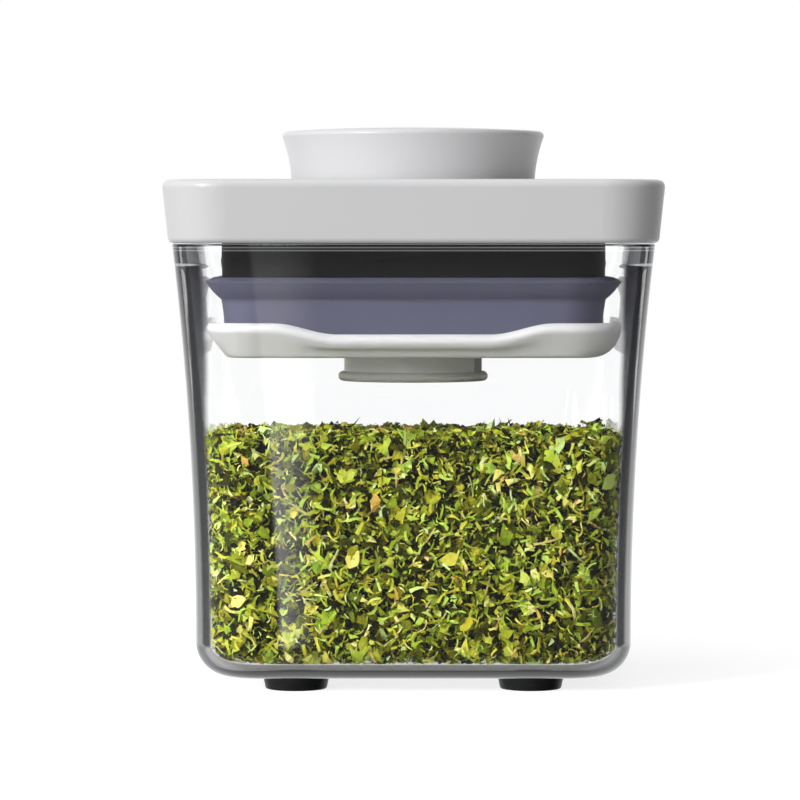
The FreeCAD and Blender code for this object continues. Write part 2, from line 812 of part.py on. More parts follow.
def make_latch_track(body):
    """The heart-shaped track outside the tube that the latch wire follows."""
    low = tube_bottom + size.track_end
    high = wire_tip + size.button_travel + size.track_width / 2 + size.slot_gap
    island_half = size.track_island / 2
    track_half = island_half + size.track_width
    island_low = low + size.track_width + size.slot_gap * 2
    island_high = high - size.track_width - size.slot_gap * 2
    surface = tube_outer_radius + size.tube_wall
    track = new_sketch(body, "track_outline", "YZ_Plane", surface, size.latch_angle)
    outline(track, [(-track_half, low), (track_half, low), (track_half, high), (-track_half, high)])
    outline(
        track,
        [
            (-island_half, island_low),
            (0, island_low + island_half / 2),
            (island_half, island_low),
            (island_half, island_high),
            (0, island_high + island_half / 2),
            (-island_half, island_high),
        ],
    )
    pocket(body, "latch_track", track, size.tube_wall + size.track_depth)


def make_latch_wire():
    """A bent wire, clipped to the collar, whose tip runs in the plunger's track."""
    body = new_body("latch_wire")
    foot = carrier_floor_top + size.wire_foot_height
    foot_start = collar_inner_radius + size.snap_ring_bite
    leg = collar_outer_radius + size.wire_radius + size.slot_gap
    tip_end = tube_outer_radius - size.track_depth + size.running_gap
    section = new_sketch(body, "section", "YZ_Plane", foot_start, size.latch_angle)
    circle(section, size.wire_radius, track_channel(), foot)
    path = new_sketch(body, "path", "XZ_Plane", -track_channel(), size.latch_angle)
    outline(
        path,
        [
            (foot_start, foot),
            (leg - size.wire_bend, foot),
            (leg, foot + size.wire_bend, size.wire_bend, False),
            (leg, wire_tip - size.wire_bend),
            (leg - size.wire_bend, wire_tip, size.wire_bend, False),
            (tip_end, wire_tip),
        ],
        closed=False,
    )
    wire = new_feature(body, "AdditivePipe", "wire", section)
    wire.Spine = (path, [f"Edge{i}" for i in range(1, 6)])
    settle(body, wire, adds=True)


def helical_slot(body, name, start_angle, start_height, rise, left_handed):
    """Cut a pair of opposite slots for round pins that climb along the cam ring.

    The slot begins at start_angle and start_height, and climbs by rise over the cam's turn.
    """
    clear_radius = size.pin_radius + size.slot_gap
    pitch = rise * 360 / size.cam_turn
    around = cam_inner_radius * (2 * math.pi)
    half_height = clear_radius * ((pitch / around) ** 2 + 1) ** 0.5
    inner = cam_inner_radius - size.running_gap
    outer = cam_outer_radius + size.running_gap
    section = new_sketch(body, f"{name}_section", "XZ_Plane", turn=start_angle)
    low = start_height - half_height
    high = start_height + half_height
    outline(section, [(inner, low), (outer, low), (outer, high), (inner, high)])
    helix = new_feature(body, "SubtractiveHelix", name, section)
    helix.ReferenceAxis = (section, ["V_Axis"])
    helix.Mode = "pitch-height-angle"
    helix.Pitch = pitch.value
    helix.setExpression("Pitch", pitch.formula)
    helix.Height = rise.value
    helix.setExpression("Height", rise.formula)
    helix.LeftHanded = left_handed
    settle(body, helix, adds=False)
    round_pattern(body, f"{name}_pair", helix, 2, adds=False)
    end_angle = start_angle - size.cam_turn if left_handed else start_angle + size.cam_turn
    for end, angle, height in (("low", start_angle, start_height), ("high", end_angle, start_height + rise)):
        hole = new_sketch(body, f"{name}_{end}_outline", "YZ_Plane", turn=angle)
        circle(hole, clear_radius, 0, height)
        pocket(body, f"{name}_{end}", hole, outer * 2, midplane=True)


def make_cam_ring():
    body = new_body("cam_ring")
    ring(body, "flange", cam_bottom, size.cam_flange_thickness, cam_inner_radius,
         cam_outer_radius + size.cam_flange_reach)
    ring(body, "wall", cam_bottom, cam_height, cam_inner_radius, cam_outer_radius)
    quarter = as_length(90)
    helical_slot(body, "press_slot", size.cam_turn, button_pin - size.button_travel, size.button_travel, True)
    helical_slot(body, "draw_slot", quarter, post_pin, size.draw_stroke, False)


# ---------------------------------------------------------------------------------------------------
# Tray, draw post, seals and gasket
# ---------------------------------------------------------------------------------------------------

TRAY_SECTIONS = 5


def tray_section(body, name, angle):
    """One level of the tray's outside: three straight slanted sides and a right side that rounds under."""
    sine = math.sin(math.radians(angle))
    depth_share = math.cos(math.radians(angle))
    inset = size.tray_slant * depth_share
    half = tray_half - inset
    right = tray_half - size.tray_round_end * (1 - sine)
    sketch = new_sketch(body, name, offset=tray_top - size.tray_height * depth_share)
    rounded_rectangle(sketch, -half, right, -half, half, size.tray_corner - inset)
    return sketch


def dip_cut(body, name, role):
    """Cut the shallow dip in the middle of two opposite rims, with an S-curve at each end."""
    sketch = new_sketch(body, f"{name}_outline", role)
    arc = (size.dip_run ** 2 + size.dip_depth ** 2) / (size.dip_depth * 4)
    low = tray_top - size.dip_depth
    middle = tray_top - size.dip_depth / 2
    above = tray_top + size.tray_rim
    end = tray_half - size.dip_shoulder
    turn = end - size.dip_run / 2
    flat = end - size.dip_run
    outline(
        sketch,
        [
            (-end, above),
            (-end, tray_top),
            (-turn, middle, arc, True),
            (-flat, low, arc, False),
            (flat, low),
            (turn, middle, arc, False),
            (end, tray_top, arc, True),
            (end, above),
        ],
    )
    pocket(body, name, sketch, tray_half * 2 + 2, midplane=True)


def make_bottom_tray():
    body = new_body("bottom_tray")
    step = 90 / (TRAY_SECTIONS - 1)
    levels = [tray_section(body, f"level_{i}", i * step) for i in range(TRAY_SECTIONS)]
    loft(body, "dish", levels)
    seat_half = gasket_half - size.gasket_taper + size.soft_gap
    seat_corner = size.neck_corner - size.gasket_taper
    rim_half = tray_half - size.tray_rim
    seat = rounded_square(body, "seat_outline", gasket_bottom, seat_half, seat_corner)
    rim = rounded_square(body, "rim_outline", tray_top, rim_half, seat_corner + rim_half - seat_half)
    loft(body, "gasket_seat", [seat, rim], adds=False, ruled=True)
    well_half = gasket_half - size.gasket_taper - size.gasket_wall - size.soft_gap
    well = rounded_square(body, "well_outline", gasket_bottom, well_half, size.neck_corner - size.gasket_wall)
    pocket(body, "well", well, size.tray_seat - size.tray_floor)
    dip_cut(body, "dips_front_back", "XZ_Plane")
    dip_cut(body, "dips_sides", "YZ_Plane")
    cup_inner = sleeve_outer_radius + size.running_gap
    cup_outer = cup_inner + size.guide_cup_wall
    ring(body, "guide_cup", tray_floor_top, size.guide_cup_height, cup_inner, cup_outer)
    slot = new_sketch(body, "cup_slot_outline", offset=tray_floor_top)
    slot_half = size.key_width / 2 + size.slot_gap
    reach = cup_outer + 1
    outline(slot, [(-reach, -slot_half), (reach, -slot_half), (reach, slot_half), (-reach, slot_half)])
    pocket(body, "cup_slots", slot, size.guide_cup_height, up=True)
    hole = new_sketch(body, "screw_hole_outline", offset=tray_floor_top)
    circle(hole, size.tray_screw_radius + size.slot_gap)
    pocket(body, "screw_hole", hole, size.tray_floor)


def make_draw_post():
    body = new_body("draw_post")
    post = new_sketch(body, "post_outline", offset=tray_floor_top)
    circle(post, size.post_radius)
    pad(body, "post", post, post_top - tray_floor_top)
    pins = new_sketch(body, "pins_outline", "XZ_Plane")
    circle(pins, size.pin_radius, 0, post_pin)
    pad(body, "pins", pins, (cam_outer_radius - size.slot_gap) * 2, midplane=True)
    pilot = new_sketch(body, "pilot_outline", offset=tray_floor_top)
    circle(pilot, size.tray_screw_radius + size.fit_gap)
    pilot_depth = size.tray_screw_length - size.tray_floor + size.pilot_end
    pocket(body, "pilot", pilot, pilot_depth, up=True)
    bore = new_sketch(body, "bore_outline", offset=post_top)
    circle(bore, size.post_radius - size.post_wall)
    pocket(body, "bore", bore, post_top - tray_floor_top - pilot_depth - size.post_web)
    groove = new_sketch(body, "seal_groove_outline", "XZ_Plane")
    half_groove = size.seal_section + size.fit_gap * 2
    floor = sleeve_inner_radius - size.fit_gap * 2 - size.seal_section * 2
    outside = size.post_radius + size.running_gap
    outline(
        groove,
        [
            (floor, seal_middle - half_groove),
            (outside, seal_middle - half_groove),
            (outside, seal_middle + half_groove),
            (floor, seal_middle + half_groove),
        ],
    )
    turned(body, "seal_groove", groove, adds=False)


def make_post_seal():
    body = new_body("post_seal")
    section = new_sketch(body, "section", "XZ_Plane")
    mean_radius = sleeve_inner_radius - size.fit_gap - size.seal_section
    circle(section, size.seal_section, mean_radius, seal_middle)
    turned(body, "ring", section)


def make_gasket():
    """The square gasket: a tapered wall with a pointed lip all round its top."""
    body = new_body("gasket")
    lip_bottom = carrier_bottom - size.gasket_lip_height
    levels = [
        (gasket_bottom, -size.gasket_taper),
        (lip_bottom, as_length(0)),
        (lip_edge, lip_reach),
        (carrier_bottom, lip_reach / 2),
    ]
    sketches = []
    for index, (height, reach) in enumerate(levels):
        corner = size.neck_corner + reach
        sketches.append(rounded_square(body, f"level_{index}", height, gasket_half + reach, corner))
    loft(body, "wall", sketches, ruled=True)
    inner_half = gasket_half - size.gasket_taper - size.gasket_wall
    inner_corner = size.neck_corner - size.gasket_wall
    inner = rounded_square(body, "inside_outline", carrier_bottom, inner_half, inner_corner)
    pocket(body, "inside", inner, size.gasket_height)


def make_accessory_mount():
    """The round socket below the tray that an accessory clips onto."""
    body = new_body("accessory_mount")
    web_bottom = tray_bottom - mount_web
    cup_radius = size.mount_neck_radius - size.mount_wall
    bead = size.mount_bead_height / 2
    bead_centre = mount_bead_radius - bead
    profile = new_sketch(body, "profile", "XZ_Plane")
    outline(
        profile,
        [
            (0, web_bottom),
            (cup_radius, web_bottom),
            (cup_radius, mount_bottom),
            (bead_centre, mount_bottom),
            (mount_bead_radius, mount_bottom + bead, bead, False),
            (bead_centre, mount_neck_bottom, bead, False),
            (size.mount_neck_radius, mount_neck_bottom),
            (size.mount_neck_radius, tray_bottom),
            (0, tray_bottom),
        ],
    )
    turned(body, "socket", profile)
    sink = new_sketch(body, "countersink_outline", "XZ_Plane")
    head = size.tray_screw_head_radius + size.fit_gap
    shank = size.tray_screw_radius + size.fit_gap
    sink_top = web_bottom + head - shank
    corners = [(0, web_bottom), (head, web_bottom), (shank, sink_top), (shank, tray_bottom), (0, tray_bottom)]
    outline(sink, corners)
    turned(body, "countersink", sink, adds=False)
    half_window = size.mount_window_width / 2
    window = bar_sketch(body, "window_outline", "YZ_Plane", 0, mount_neck_bottom, tray_bottom - mount_web / 2,
                        half_window, mount_bead_radius, -(as_length(90) - size.mount_window_angle))
    first = pocket(body, "window", window, mount_bead_radius - cup_radius)
    round_pattern(body, "windows", first, 2, adds=False)


# ---------------------------------------------------------------------------------------------------
# Spring and screws
# ---------------------------------------------------------------------------------------------------


def make_return_spring():
    body = new_body("return_spring")
    section = new_sketch(body, "section", "XZ_Plane")
    wire = size.spring_wire / 2
    start = carrier_floor_top + wire + size.fit_gap
    rise = button_underside - carrier_floor_top - (wire + size.fit_gap) * 2
    circle(section, wire, spring_radius, start)
    coil = new_feature(body, "AdditiveHelix", "coil", section)
    coil.ReferenceAxis = (section, ["V_Axis"])
    coil.Mode = "pitch-height-angle"
    coil.Pitch = size.spring_pitch.value
    coil.setExpression("Pitch", size.spring_pitch.formula)
    coil.Height = rise.value
    coil.setExpression("Height", rise.formula)
    settle(body, coil, adds=True)


def cross_recess(body, bottom, x, y):
    """Cut a cross-shaped driver recess up into a screw head."""
    wide = size.recess_length / 2
    slim = size.recess_width / 2
    x = as_length(x)
    y = as_length(y)
    corners = [(wide, -slim), (wide, slim), (slim, slim), (slim, wide), (-slim, wide), (-slim, slim)]
    corners += [(-wide, slim), (-wide, -slim), (-slim, -slim), (-slim, -wide), (slim, -wide), (slim, -slim)]
    sketch = new_sketch(body, "recess_outline", offset=bottom)
    outline(sketch, [(x + right, y + up) for right, up in corners])
    return pocket(body, "recess", sketch, size.recess_depth, up=True)


def make_carrier_screws():
    """Four alike pan-head screws that hold the carrier up to the lid frame."""
    body = new_body("carrier_screws")
    bottom = carrier_bottom - size.screw_head_height
    for name, height, radius, length in (
        ("head", bottom, size.screw_head_radius, size.screw_head_height),
        ("shank", carrier_bottom, size.screw_radius, size.screw_length),
    ):
        sketch = new_sketch(body, f"{name}_outline", offset=height)
        circle(sketch, radius, screw_place, screw_place)
        pad(body, name, sketch, length)
    cross_recess(body, bottom, screw_place, screw_place)
    pattern = body.newObject("PartDesign::PolarPattern", "four_screws")
    pattern.Originals = [body.getObject("head"), body.getObject("shank"), body.getObject("recess")]
    pattern.Axis = (origin_item(body, "Z_Axis"), [""])
    pattern.Angle = 360
    pattern.Occurrences = 4
    settle(body, pattern, adds=True)


def make_tray_screw():
    body = new_body("tray_screw")
    bottom = tray_bottom - mount_web
    top = tray_bottom + size.tray_screw_length
    head_top = bottom + size.tray_screw_head_radius - size.tray_screw_radius
    profile = new_sketch(body, "profile", "XZ_Plane")
    outline(
        profile,
        [
            (0, bottom),
            (size.tray_screw_head_radius, bottom),
            (size.tray_screw_radius, head_top),
            (size.tray_screw_radius, top),
            (0, top),
        ],
    )
    turned(body, "screw", profile)
    cross_recess(body, bottom, 0, 0)


# ---------------------------------------------------------------------------------------------------
# Build, check and write
# ---------------------------------------------------------------------------------------------------


def build_all():
    make_jar()
    make_herb_fill()
    for depth, y_side in (("front", -1), ("rear", 1)):
        for hand, x_side in (("left", -1), ("right", 1)):
            make_foot(f"foot_{depth}_{hand}", x_side, y_side)
    make_lid_frame()
    make_gasket_carrier()
    make_carrier_screws()
    make_cam_retainer()
    make_cam_ring()
    make_button_cap()
    make_button_plunger()
    make_return_spring()
    make_latch_wire()
    make_gasket()
    make_bottom_tray()
    make_draw_post()
    make_post_seal()
    make_accessory_mount()
    make_tray_screw()


def check_all():
    """Stop if any object failed, or if a piece has no sound shape."""
    doc.recompute()
    for item in doc.Objects:
        if "Invalid" in item.State or "Error" in item.State:
            raise RuntimeError(f"{item.Name} failed: {item.State}")
    for body in bodies:
        if body.Shape.isNull() or not body.Shape.isValid():
            raise RuntimeError(f"{body.Label} has no sound shape")


def write_all():
    os.makedirs("parts", exist_ok=True)
    for body in bodies:
        body.Shape.exportStep(f"parts/{body.Label}.step")
        box = body.Shape.BoundBox
        print(
            f"{body.Label}: {len(body.Shape.Solids)} solid(s), {body.Shape.Volume:.1f} mm3,"
            f" z {box.ZMin:.2f} to {box.ZMax:.2f}, x {box.XMin:.2f} to {box.XMax:.2f}"
        )


build_all()
check_all()
write_all()
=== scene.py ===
"""The looks of a herb keeper: a square clear jar of dried herbs under a white push-button lid.

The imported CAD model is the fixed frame. Most of its nodes stay and get their finishes here. The jar, the
herbs, the gasket, the tray and the return spring are built again as finer pieces.
"""

import json
import logging
import math
from collections.abc import Callable, Sequence
from dataclasses import dataclass, field
from enum import Enum

import bmesh
import bpy
import numpy as np
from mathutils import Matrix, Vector

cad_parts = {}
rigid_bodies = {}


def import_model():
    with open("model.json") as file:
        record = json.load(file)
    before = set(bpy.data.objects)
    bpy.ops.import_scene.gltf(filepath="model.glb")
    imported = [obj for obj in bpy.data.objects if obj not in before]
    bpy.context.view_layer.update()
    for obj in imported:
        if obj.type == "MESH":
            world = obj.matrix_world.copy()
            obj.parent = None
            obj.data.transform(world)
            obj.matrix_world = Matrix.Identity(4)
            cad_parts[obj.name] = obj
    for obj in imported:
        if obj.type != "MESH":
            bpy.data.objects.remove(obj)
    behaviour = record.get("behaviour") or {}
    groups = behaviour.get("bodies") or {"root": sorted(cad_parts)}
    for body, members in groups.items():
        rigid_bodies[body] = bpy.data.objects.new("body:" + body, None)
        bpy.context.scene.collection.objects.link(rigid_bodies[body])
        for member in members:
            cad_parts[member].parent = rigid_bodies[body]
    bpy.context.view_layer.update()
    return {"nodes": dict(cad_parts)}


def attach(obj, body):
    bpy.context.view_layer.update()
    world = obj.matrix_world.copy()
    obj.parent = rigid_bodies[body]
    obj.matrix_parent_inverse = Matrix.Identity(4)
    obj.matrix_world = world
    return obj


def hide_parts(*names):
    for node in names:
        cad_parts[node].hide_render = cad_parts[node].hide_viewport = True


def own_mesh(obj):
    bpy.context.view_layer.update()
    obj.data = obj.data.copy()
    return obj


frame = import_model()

MM = 0.001
log = logging.getLogger("herb_keeper")

Colour = tuple[float, float, float]
Place = tuple[float, float, float]
Socket = bpy.types.NodeSocket


# ---------- Node trees ----------


class NodeSheet:
    """A node tree with short ways to add, set and link its nodes."""

    def __init__(self, tree: bpy.types.NodeTree) -> None:
        """Empty the tree.

        Args:
            tree: The tree to fill.
        """
        self.tree = tree
        tree.nodes.clear()

    def add(self, kind: str, inputs: dict | None = None, **settings: object) -> bpy.types.Node:
        """Add a node.

        Args:
            kind: The node's type name.
            inputs: What each input, by name or index, is set to or linked from.
            settings: The node's own properties.

        Returns:
            The new node.
        """
        node = self.tree.nodes.new(kind)
        for name, value in settings.items():
            setattr(node, name, value)
        return self.fill(node, inputs or {})

    def fill(self, node: bpy.types.Node, inputs: dict) -> bpy.types.Node:
        """Set or link the inputs of a node, by name or index.

        Args:
            node: The node.
            inputs: What each input is set to or linked from.

        Returns:
            The same node.
        """
        for key, value in inputs.items():
            self.feed(self.socket(node, key), value)
        return node

    @property
    def given(self) -> bpy.types.bpy_prop_collection:
        """What goes into a node group."""
        return self.tree.nodes["start"].outputs

    def socket(self, node: bpy.types.Node, key: str | int) -> Socket:
        """Find the input of a node that a name or an index stands for, among those in use.

        Args:
            node: The node.
            key: The input's name or index.

        Returns:
            The input.
        """
        if isinstance(key, int):
            return node.inputs[key]
        return next(s for s in node.inputs if s.name == key and s.enabled)

    def feed(self, socket: Socket, value: object) -> None:
        """Link an output into a socket, or set the socket's own value.

        Args:
            socket: The input.
            value: An output to link from, or a plain value.
        """
        if isinstance(value, Socket):
            self.tree.links.new(value, socket)
        else:
            socket.default_value = value

    def math(self, operation: str, *values: object, clamp: bool = False) -> Socket:
        """Add a Math node.

        Args:
            operation: The node's operation.
            values: Its inputs in order, as numbers or outputs.
            clamp: Whether its result is kept between 0 and 1.

        Returns:
            The result.
        """
        inputs = dict(enumerate(values))
        return self.add("ShaderNodeMath", inputs, operation=operation, use_clamp=clamp).outputs[0]

    def times(self, *factors: object) -> Socket:
        """Multiply two or more factors.

        Args:
            factors: Numbers or outputs.

        Returns:
            The product.
        """
        product = factors[0]
        for factor in factors[1:]:
            product = self.math("MULTIPLY", product, factor)
        return product

    def spread(self, value: object, low: float, high: float, to_low: object, to_high: object) -> Socket:
        """Map a value from one range to another, kept inside it."""
        inputs = {"Value": value, "From Min": low, "From Max": high, "To Min": to_low, "To Max": to_high}
        return self.add("ShaderNodeMapRange", inputs).outputs["Result"]

    def blend(self, share: object, first: object, second: object) -> Socket:
        """Mix two colours by a share.

        Args:
            share: The second colour's share.
            first: The colour at 0.
            second: The colour at 1.

        Returns:
            The mixed colour.
        """
        node = self.add("ShaderNodeMix", {0: share}, data_type="RGBA")
        sockets = [s for s in node.inputs if s.type == "RGBA"]
        for socket, colour in zip(sockets, (first, second)):
            self.feed(socket, colour if isinstance(colour, Socket) else (*colour, 1.0))
        return next(s for s in node.outputs if s.type == "RGBA")

    def ramp(self, value: object, stops: Sequence[tuple[float, Colour]]) -> Socket:
        """Turn a value into a colour through a list of stops.

        Args:
            value: The value.
            stops: Places from 0 to 1, each with its colour.

        Returns:
            The colour.
        """
        node = self.add("ShaderNodeValToRGB", {"Fac": value})
        elements = node.color_ramp.elements
        while len(elements) < len(stops):
            elements.new(0.5)
        for element, (place, colour) in zip(elements, stops):
            element.position = place
            element.color = (*colour, 1.0)
        return node.outputs["Color"]

    def noise(self, vector: object, scale: float, detail: float = 2.0) -> Socket:
        """Add a noise texture and give its value."""
        return self.add("ShaderNodeTexNoise", {"Vector": vector, "Scale": scale, "Detail": detail}).outputs[0]

    def swing(self, noise: object, low: object, high: object) -> Socket:
        """Map the middle of a noise, from 0.3 to 0.7, to another range."""
        return self.spread(noise, 0.3, 0.7, low, high)

    def place(self) -> Socket:
        """The spot's place on the object, in metres."""
        return self.add("ShaderNodeTexCoord").outputs["Object"]

    def noted(self, name: str) -> Socket:
        """A value noted on the mesh."""
        return self.add("ShaderNodeAttribute", attribute_name=name).outputs["Fac"]

    def bump(self, height: object, depth: float) -> Socket:
        """The normal over a height map, its depth in mm."""
        return self.add("ShaderNodeBump", {"Height": height, "Distance": depth * MM}).outputs[0]

    def put_out(self, geometry: Socket) -> bpy.types.NodeTree:
        """End a geometry tree: make its instances real and give them the finish.

        Args:
            geometry: What the tree has made.

        Returns:
            The tree.
        """
        real = self.add("GeometryNodeRealizeInstances", {"Geometry": geometry}).outputs[0]
        inputs = {"Geometry": real, "Material": self.given["Finish"]}
        dressed = self.add("GeometryNodeSetMaterial", inputs).outputs[0]
        self.fill(self.tree.nodes["end"], {0: dressed})
        return self.tree


def new_group(name: str, kind: str, inputs: dict[str, object], outputs: dict[str, str]) -> NodeSheet:
    """Make a node group with named sockets.

    Args:
        name: The group's name.
        kind: The tree's type, for shaders or for geometry.
        inputs: Each input's name, with its socket type, or with its number where it is a plain value.
        outputs: Each output's name and socket type.

    Returns:
        The group's sheet, whose nodes for what goes in and out are named start and end.
    """
    tree = bpy.data.node_groups.new(name, kind)
    sheet = NodeSheet(tree)
    for label, value in inputs.items():
        plain = isinstance(value, float)
        socket = tree.interface.new_socket(
            name=label, in_out="INPUT", socket_type="NodeSocketFloat" if plain else value
        )
        if plain:
            socket.default_value = value
    for label, socket_type in outputs.items():
        tree.interface.new_socket(name=label, in_out="OUTPUT", socket_type=socket_type)
    sheet.add("NodeGroupInput").name = "start"
    sheet.add("NodeGroupOutput").name = "end"
    return sheet


def moulded_grain() -> bpy.types.NodeTree:
    """The fine grain and faint cloudiness of moulded plastic, shared by the plastics and rubbers.

    Returns:
        A group that puts out a tone around 0.5 and the height of the grain.
    """
    sheet = new_group(
        "moulded_grain",
        "ShaderNodeTree",
        {"Grain Scale": 900.0, "Cloud Scale": 45.0},
        {"Tone": "NodeSocketFloat", "Height": "NodeSocketFloat"},
    )
    place = sheet.place()
    cloud = sheet.noise(place, sheet.given["Cloud Scale"], 3.0)
    grain = sheet.noise(place, sheet.given["Grain Scale"], 1.0)
    tone = sheet.math("ADD", sheet.times(cloud, 0.7), sheet.times(grain, 0.3))
    sheet.fill(sheet.tree.nodes["end"], {"Tone": tone, "Height": grain})
    return sheet.tree


def settled_dust() -> bpy.types.NodeTree:
    """Thin dust that lies on faces that look up, shared by the plastics and rubbers.

    Returns:
        A group that puts out the dust's share.
    """
    sheet = new_group(
        "settled_dust", "ShaderNodeTree", {"Amount": 0.1, "Scale": 260.0}, {"Share": "NodeSocketFloat"}
    )
    normal = sheet.add("ShaderNodeNewGeometry").outputs["Normal"]
    up = sheet.add("ShaderNodeSeparateXYZ", {0: normal}).outputs["Z"]
    lying = sheet.spread(up, 0.2, 1.0, 0.0, 1.0)
    specks = sheet.spread(sheet.noise(sheet.place(), sheet.given["Scale"], 5.0), 0.45, 0.75, 0.0, 1.0)
    share = sheet.math("MULTIPLY", sheet.times(lying, specks), sheet.given["Amount"], clamp=True)
    sheet.fill(sheet.tree.nodes["end"], {"Share": share})
    return sheet.tree


# ---------- Finishes ----------


def new_material(name: str) -> tuple[bpy.types.Material, NodeSheet, bpy.types.Node]:
    """Start a material with one Principled shader.

    Args:
        name: The material's name.

    Returns:
        The material, its sheet and its shader.
    """
    material = bpy.data.materials.new(name)
    material.use_nodes = True
    sheet = NodeSheet(material.node_tree)
    shader = sheet.add("ShaderNodeBsdfPrincipled")
    sheet.add("ShaderNodeOutputMaterial", {"Surface": shader.outputs[0]})
    return material, sheet, shader


def shared_group(sheet: NodeSheet, make: Callable[[], bpy.types.NodeTree], inputs: dict) -> bpy.types.Node:
    """Place a shared node group in a material, made on its first use."""
    node = sheet.add("ShaderNodeGroup", node_tree=bpy.data.node_groups.get(make.__name__) or make())
    return sheet.fill(node, inputs)


@dataclass(frozen=True)
class MouldedFinish:
    """A moulded plastic or rubber: one colour with faint clouds, a fine grain and a little dust."""

    name: str
    colour: Colour
    roughness: float
    tone: float = 0.04
    grain: float = 0.02
    grain_scale: float = 900.0
    dust: float = 0.05
    shine: float = 0.5
    dust_colour: Colour = (0.62, 0.61, 0.58)

    def build(self) -> bpy.types.Material:
        """Make the material.

        Returns:
            The material.
        """
        material, sheet, shader = new_material(self.name)
        grain = shared_group(sheet, moulded_grain, {"Grain Scale": self.grain_scale}).outputs
        dust = shared_group(sheet, settled_dust, {"Amount": self.dust}).outputs["Share"]
        dark = tuple(c * (1 - self.tone) for c in self.colour)
        light = tuple(min(1.0, c * (1 + self.tone)) for c in self.colour)
        body = sheet.blend(grain["Tone"], dark, light)
        rough = sheet.swing(grain["Tone"], self.roughness * 0.88, self.roughness * 1.12)
        inputs = {
            "Base Color": sheet.blend(dust, body, self.dust_colour),
            "Roughness": sheet.math("ADD", rough, sheet.times(dust, 0.3), clamp=True),
            "Specular IOR Level": self.shine,
            "Normal": sheet.bump(grain["Height"], self.grain),
        }
        sheet.fill(shader, inputs)
        return material


